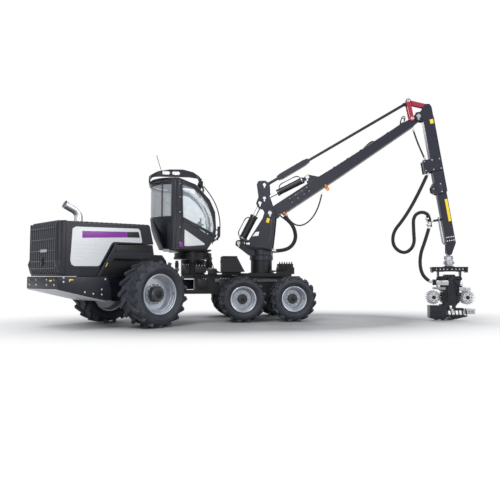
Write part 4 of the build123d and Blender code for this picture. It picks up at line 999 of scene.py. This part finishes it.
cylinderKit("lift_barrel", (-0.617, 2.11), (-0.016, 3.243), 0.88, 0.105)
cylinderKit("fold_barrel", (1.319, 3.948), (0.114, 3.38), 0.93, 0.092)

# Jib and extension: bracket boxes with their bolts, seams, markers and the bent pipe pair.
jibBoxes, jibBolts, jibYellow = Shape(), Shape(), Shape()
for side in (-1, 1):
    jibBoxes.slab([(1.9, 0.05), (1.9, 0.262), (2.19, 0.262), (2.19, 0.1), (2.1, -0.012), (1.98, -0.012)],
                  *across(side, 0.124, 0.15))
    jibBoxes.slab([(0.1, 0.352), (2.16, 0.352), (2.16, 0.374), (0.1, 0.374)], *across(side, 0.11, 0.131))
    jibBoxes.slab([(0.14, 0.09), (2.16, 0.09), (2.16, 0.106), (0.14, 0.106)], *across(side, 0.11, 0.131))
    for u, v in ((1.27, -0.08), (1.53, -0.08), (1.27, 0.31), (1.53, 0.31), (1.27, 0.12), (1.53, 0.12)):
        jibBolts.bolt((u, side * 0.165, v), (0, side, 0), 0.012, 0.009)
    for u, v in ((1.94, 0.225), (2.15, 0.225), (2.04, 0.03)):
        jibBolts.bolt((u, side * 0.15, v), (0, side, 0), 0.012, 0.009)
    jibYellow.slab([(0.165, 0.255), (0.285, 0.255), (0.285, 0.34), (0.165, 0.34)],
                   *across(side, 0.1245, 0.1275))
pieces("jib", jibAxis, ("jibBrackets", jibBoxes, craneCoat, 0.005), ("jibBolts", jibBolts, zinc, 0.001),
       ("jibPlates", jibYellow, yellowPaint, 0.001))
tipBolts, strip, foot = Shape(), Shape(), Shape()
for side in (-1, 1):
    for row, u in enumerate((3.375, 3.47)):
        for k in range(4):
            tipBolts.bolt((u, side * 0.105, 0.15 + k * 0.055), (0, side, 0), 0.011, 0.009)
    strip.slab([(2.36, 0.27), (2.96, 0.27), (2.96, 0.335), (2.36, 0.335)], *across(side, 0.1045, 0.1075))
    foot.slab([(3.33, 0.112), (3.56, 0.112), (3.56, 0.352), (3.33, 0.352)], *across(side, 0.098, 0.1055))
    foot.pin((3.752, side * 0.09, 0.154), (0, side, 0), 0.042, 0.014)
pieces("extension", jibAxis, ("extensionBolts", tipBolts, whitePaint, 0.001),
       ("extensionStrip", strip, yellowPaint, 0.001), ("extensionFoot", foot, craneCoat, 0.003))
pipe("bentPipes", [[(2.8, y, 0.05), (3.1, y, 0.046), (3.4, y, 0.046), (3.5, y, 0.05), (3.545, y, 0.095),
                    (3.548, y, 0.125)] for y in (-0.05, 0.01)], 0.017, steel, "extension", jibAxis)
clampSet = Shape()
for u, v, y in ((2.8, -0.245, -0.07), (2.96, -0.245, -0.07), (2.876, -0.14, -0.055)):
    clampSet.turned([(0.045, -0.022), (0.052, -0.018), (0.052, 0.018), (0.045, 0.022)], (u, y, v),
                    (1, 0, 0.1), 24)
clampSet.slab([(2.72, -0.18), (3.02, -0.18), (3.0, -0.27), (2.76, -0.28)], -0.04, -0.03)
piece("hoseClamps", clampSet, zinc, "extension", bevel=0.003, place=jibAxis)
plates, whites = Shape(), Shape()
plates.slab([(0.16, 2.69), (0.24, 2.665), (0.275, 2.79), (0.195, 2.815)], -0.1885, -0.184)
whites.slab([(-0.225, 2.3), (-0.06, 2.31), (-0.03, 2.425), (-0.13, 2.42)], -0.1885, -0.184)
whites.slab([(-0.385, 2.07), (-0.3, 2.07), (-0.3, 2.125), (-0.385, 2.125)], -0.1885, -0.184)
pieces("crane_post", crane, ("postYellowPlate", plates, yellowPaint, 0.001),
       ("postWhitePlates", whites, whitePaint, 0.001))
postKit = Shape()
for u, v in circle(24, 0.3):
    postKit.bolt((u, v, 1.751), (0, 0, 1), 0.013, 0.012)
for side in (-1, 1):
    postKit.slab([(-0.25, 1.96), (0.25, 1.96), (0.33, 2.38), (0.37, 2.76), (0.3, 2.76), (0.26, 2.4),
                  (0.18, 2.02), (-0.2, 2.02)], *across(side, 0.184, 0.196))
    postKit.box((0.11, 0.05, 0.09), (-0.43, side * 0.205, 2.18))
piece("postRibs", postKit, craneCoat, "crane_post", bevel=0.004, place=crane)
pipe("postHoses", [[(0.33, -0.2 - 0.016 * k, 1.9), (0.1, -0.235 - 0.01 * k, 1.905 + 0.02 * k),
                    (-0.2, -0.225, 1.93 + 0.02 * k), (-0.42, -0.22, 2.02 + 0.01 * k), (-0.43, -0.222, 2.14)]
                   for k in range(4)], 0.013, blackRubber, "crane_post", crane)
print("crane dressed")

# Head: spiked rollers, knives' teeth, yoke beam, saw box and foot rail. gear outlines a disc with
# pointed square teeth.
def gear(radius, root, teeth, width=0.42):
    out = []
    for k in range(teeth):
        for share, r in ((0.0, root), (0.12, radius * 0.985), (width * 0.5, radius), (width, radius * 0.985),
                         (width + 0.12, root)):
            a = 2 * math.pi * (k + share) / teeth
            out.append((r * math.cos(a), r * math.sin(a)))
    return out


rollerSizes = {"radius": 0.186, "root": 0.116, "teeth": 19, "width": 0.34}
rollerCore = {"radius": 0.11, "half": 0.146, "bolts": 6, "boltCircle": 0.09}
toothRow = {"count": 7, "pitch": 0.052, "lean": 0.012}
for side, word in ((-1, "left"), (1, "right")):
    spot = head @ shift(side * 0.42, 0, -1.21)
    roller, core = Shape(), Shape()
    for low, high in ((-0.15, -0.118), (-0.076, -0.048), (-0.01, 0.018), (0.056, 0.084), (0.12, 0.148)):
        roller.slab(gear(**rollerSizes), low, high, place=spot)
    core.turned([(rollerCore["radius"], -rollerCore["half"]), (rollerCore["radius"], rollerCore["half"])],
                (0, 0, 0), (0, 1, 0), 40, place=spot)
    core.turned([(0.05, 0), (0.05, 0.012), (0.03, 0.018), (0.026, 0.03), (0.01, 0.032)], (0, -0.148, 0),
                (0, -1, 0), 24, place=spot)
    for u, v in circle(rollerCore["bolts"], rollerCore["boltCircle"]):
        core.bolt((u, -0.15, v), (0, -1, 0), 0.009, 0.007, place=spot)
    piece("spikedRoller_" + word, roller, brightSteel, "feed_roller_" + word, bevel=0.002, segments=1,
          replaces=("feed_roller_" + word,))
    piece("rollerCore_" + word, core, blackPart, "feed_roller_" + word, bevel=0.002)
    armKit = Shape()
    armKit.slab([(side * 0.09, -1.155), (side * 0.43, -1.08), (side * 0.52, -1.15), (side * 0.52, -1.27),
                 (side * 0.43, -1.34), (side * 0.09, -1.265)], 0.235, 0.262)
    armKit.turned([(0.088, 0), (0.088, 0.03), (0.06, 0.04), (0.06, 0.1)], (side * 0.42, 0.245, -1.21),
                  (0, 1, 0), 28)
    piece("armPlate_" + word, armKit, blackPart, "feed_arm_" + word, bevel=0.006, place=head)
    knifeKit = Shape()
    for k in range(toothRow["count"]):
        a = (side * (0.405 - toothRow["lean"] * k), -0.02 - toothRow["pitch"] * k)
        knifeKit.slab([(a[0] - 0.012, a[1]), (a[0] + side * 0.03, a[1] - 0.012), (a[0] - 0.01, a[1] - 0.03)],
                      -0.99, -0.95, plane="XY")
    piece("knifeTeeth_" + word, knifeKit, brightSteel, "knife_" + word, bevel=0.0015, place=head)

yokeKit, yokeBolts = Shape(), Shape()
for side in (-1, 1):
    yokeKit.slab([(side * 0.45, -0.44), (side * 0.385, -0.44), (side * 0.385, -0.5), (side * 0.415, -0.56),
                  (side * 0.44, -0.56), (side * 0.45, -0.5)], -0.13, 0.13)
    yokeKit.slab([(side * 0.12, -0.442), (side * 0.3, -0.442), (side * 0.27, -0.54), (side * 0.15, -0.54)],
                 -0.116, -0.098)
    for x in (0.06, 0.15, 0.24, 0.33):
        yokeBolts.bolt((side * x, -0.117 if 0.1 < x < 0.3 else -0.1, -0.47), (0, -1, 0), 0.013, 0.01)
    yokeBolts.pin((side * 0.312, 0, -0.72), (side, 0, 0), 0.036, 0.012)
yokeKit.turned([(0.15, -0.412), (0.15, -0.402), (0.118, -0.392)], (0, 0, 0), (0, 0, 1), 40)
for u, v in circle(12, 0.132):
    yokeBolts.bolt((u, v, -0.404), (0, 0, 1), 0.009, 0.008)
pieces("head_yoke", head, ("yokeRibs", yokeKit, charcoal, 0.006), ("yokeBolts", yokeBolts, zinc, 0.001))
spinner = Shape()
spinner.turned([(0.06, -0.12), (0.075, -0.135), (0.08, -0.2), (0.108, -0.24), (0.122, -0.275),
                (0.122, -0.3)], (0, 0, 0), (0, 0, 1), 40)
for side in (-1, 1):
    spinner.turned([(0.044, 0), (0.044, 0.012), (0.03, 0.016)], (side * 0.096, 0, -0.165), (side, 0, 0), 24)
    spinner.box((0.05, 0.05, 0.06), (side * 0.11, -0.03, -0.3))
piece("rotatorHousing", spinner, steel, "rotator", bevel=0.003, place=head)

headCover, bright, rails, sawKit = Shape(), Shape(), Shape(), Shape()
headCover.slab([(-0.255, -0.76), (-0.19, -0.7), (-0.12, -0.76), (-0.15, -1.02), (-0.262, -1.04),
                (-0.35, -0.97), (-0.33, -0.86)], -0.16, -0.08)
headCover.slab([(0.1, -0.74), (0.25, -0.78), (0.3, -0.9), (0.25, -1.0), (0.12, -1.02)], -0.165, -0.08)
for side in (-1, 1):
    headCover.slab([(side * 0.15, -1.06), (side * 0.215, -1.09), (side * 0.215, -1.33),
                    (side * 0.15, -1.38)], -0.17, 0.17)
headCover.slab([(-0.06, -0.7), (0.06, -0.7), (0.085, -0.9), (0.085, -1.33), (-0.085, -1.33), (-0.085, -0.9)],
               -0.176, -0.1)
for z in (-0.86, -1.0, -1.14, -1.28):
    headCover.box((0.12, 0.02, 0.03), (0, -0.18, z))
bright.slab(gear(0.062, 0.046, 12), -0.145, 0.145,
            place=head @ shift(-0.215, -0.205, -0.829) @ turn(90, "Z"))
bright.slab(gear(0.056, 0.042, 12), -0.14, 0.14, place=head @ shift(0.345, -0.15, -0.985) @ turn(90, "Z"))
bright.rod((-0.37, -0.205, -0.829), (-0.06, -0.205, -0.829), 0.02, place=head)
bright.rod((0.19, -0.15, -0.985), (0.49, -0.15, -0.985), 0.02, place=head)
for x, y, z in ((-0.3, -0.19, -0.92), (0.255, -0.175, -0.86), (-0.02, -0.185, -1.47), (0.02, -0.15, -1.56)):
    bright.turned([(0.034, -0.05), (0.04, -0.04), (0.04, 0.04), (0.034, 0.05)], (x, y, z), (0, 0, 1), 20,
                  place=head)
for k in range(9):
    bright.slab([(0.3 + 0.034 * k, -1.545), (0.318 + 0.034 * k, -1.545), (0.326 + 0.034 * k, -1.64),
                 (0.296 + 0.034 * k, -1.64)], -0.12, 0.09, place=head)
bright.slab([(0.285, -1.5), (0.61, -1.51), (0.61, -1.55), (0.285, -1.55)], -0.12, 0.09, place=head)
piece("headPlates", headCover, charcoal, "head_frame", bevel=0.006, place=head)
piece("headBright", bright, brightSteel, "head_frame", bevel=0.0015, segments=1)
for low, high in ((-0.15, -0.125), (0.125, 0.15)):
    rails.slab([(-0.26, -1.77), (-0.13, -1.79), (0.4, -1.66), (0.4, -1.7), (0.0, -1.8), (-0.26, -1.808)],
               low, high)
for k in range(6):
    x = -0.1 + k * 0.09
    rails.slab([(x, -1.5), (x + 0.026, -1.5), (x + 0.046, -1.76 + k * 0.022),
                (x + 0.016, -1.765 + k * 0.022)], -0.145, -0.115)
rails.slab([(-0.14, -1.48), (0.3, -1.48), (0.33, -1.545), (-0.14, -1.56)], -0.15, -0.1)
sawKit.slab([(-0.545, -1.43), (-0.12, -1.43), (-0.12, -1.56), (-0.19, -1.76), (-0.42, -1.8), (-0.545, -1.7)],
            -0.238, -0.225)
sawKit.box((0.24, 0.016, 0.14), (-0.36, -0.242, -1.53))
for x, z in ((-0.51, -1.465), (-0.16, -1.465), (-0.51, -1.66), (-0.23, -1.72), (-0.44, -1.59),
             (-0.28, -1.59)):
    sawKit.bolt((x, -0.238, z), (0, -1, 0), 0.013, 0.009)
pieces("head_frame", head, ("footRail", rails, charcoal, 0.004), ("sawBoxCover", sawKit, charcoal, 0.003))
headLines = [[(-0.44, -0.112, -0.8), (-0.3, -0.175, -0.76 - 0.03 * k), (-0.18, -0.185, -0.9 - 0.02 * k),
              (-0.12 - 0.02 * k, -0.19, -1.08), (-0.1 - 0.03 * k, -0.18, -1.3)] for k in range(4)]
headLines += [[(0.06, -0.18, -0.78), (0.18, -0.2, -0.83 - 0.02 * k), (0.2, -0.19, -1.0),
               (0.15 + 0.02 * k, -0.185, -1.16)] for k in range(3)]
pipe("headHoses", headLines, 0.013, blackRubber, "head_frame", head)
print("head dressed")

# Floor: pale and matt, darkened by a painted shadow under the machine, brightening to the white background
# far off.
floorMesh = bpy.data.meshes.new("floor")
floorMesh.from_pydata([(-90, -40, -0.001), (90, -40, -0.001), (90, 140, -0.001), (-90, 140, -0.001)], [],
                      [(0, 1, 2, 3)])
floor = bpy.data.objects.new("floor", floorMesh)
scene.collection.objects.link(floor)
ground = Look("ground")
apart = ground.vectors("LENGTH", ground.vectors("MULTIPLY", ground.place, (0.55, 1.0, 0)), output="Value")
fade = {"whiteFrom": 2.2, "paintedShadowUpTo": 4.8, "over": 2.6}
spread = ((apart - fade["whiteFrom"]) / fade["over"]).clamp()
# Painted shadow: the floor's colour darkens in patches near the machine, standing in for the machine's
# shadow on the ground.
paintedShadow = ((fade["paintedShadowUpTo"] - apart) / fade["over"]).clamp() * (ground.noise(0.9, 5.0) * 0.35 + 0.8)
white = ground.node("ShaderNodeEmission", Color=(1, 1, 1, 1), Strength=1.0)
ground.set(Base_Color=ground.blend(paintedShadow, (0.78, 0.78, 0.79), (0.28, 0.285, 0.29)), Roughness=0.8)
mixed = ground.node("ShaderNodeMixShader", _0=spread, _1=Value(ground.tree, ground.shader.outputs[0]),
                    _2=white)
ground.tree.links.new(mixed.socket, ground.tree.nodes["Material Output"].inputs[0])
floorMesh.materials.append(ground.material)

# World: white to the camera, a soft cool sky to everything else.
sky = {"strength": 0.62, "tint": (0.93, 0.95, 1.0, 1)}
scene.view_settings.view_transform = "Standard"
world = bpy.data.worlds.new("world")
scene.world = world
world.use_nodes = True
tree = world.node_tree
tree.nodes.clear()
out, mix = tree.nodes.new("ShaderNodeOutputWorld"), tree.nodes.new("ShaderNodeMixShader")
dim, bare = tree.nodes.new("ShaderNodeBackground"), tree.nodes.new("ShaderNodeBackground")
path = tree.nodes.new("ShaderNodeLightPath")
dim.inputs[0].default_value, dim.inputs[1].default_value = sky["tint"], sky["strength"]
bare.inputs[0].default_value, bare.inputs[1].default_value = (1, 1, 1, 1), 1.0
cameraRay, glassRay = (Value(tree, path.outputs[f"Is {kind} Ray"]) for kind in ("Camera", "Transmission"))
seen = cameraRay.maths("MAXIMUM", glassRay)
tree.links.new(seen.socket, mix.inputs[0])
tree.links.new(dim.outputs[0], mix.inputs[1])
tree.links.new(bare.outputs[0], mix.inputs[2])
tree.links.new(mix.outputs[0], out.inputs[0])
# Lamps: name, place, aim, diameter, power.
lampTable = (
    ("key", (-7, -9, 11), (-1, 0, 1.5), 6, 1150), ("fill", (9, -9, 6), (2, 0, 2), 8, 480),
    ("back", (2, 9, 9), (0, 0, 2), 7, 700), ("strip", (-3, -11, 3), (-1, 0, 1.8), 3, 120))
for name, at, aim, size, power in lampTable:
    data = bpy.data.lights.new(name, "AREA")
    data.shape = "DISK"
    data.size = size
    data.energy = power
    lamp = bpy.data.objects.new(name, data)
    scene.collection.objects.link(lamp)
    lamp.location = at
    lamp.rotation_euler = (Vector(aim) - Vector(at)).to_track_quat("-Z", "Y").to_euler()

print("scene ready")
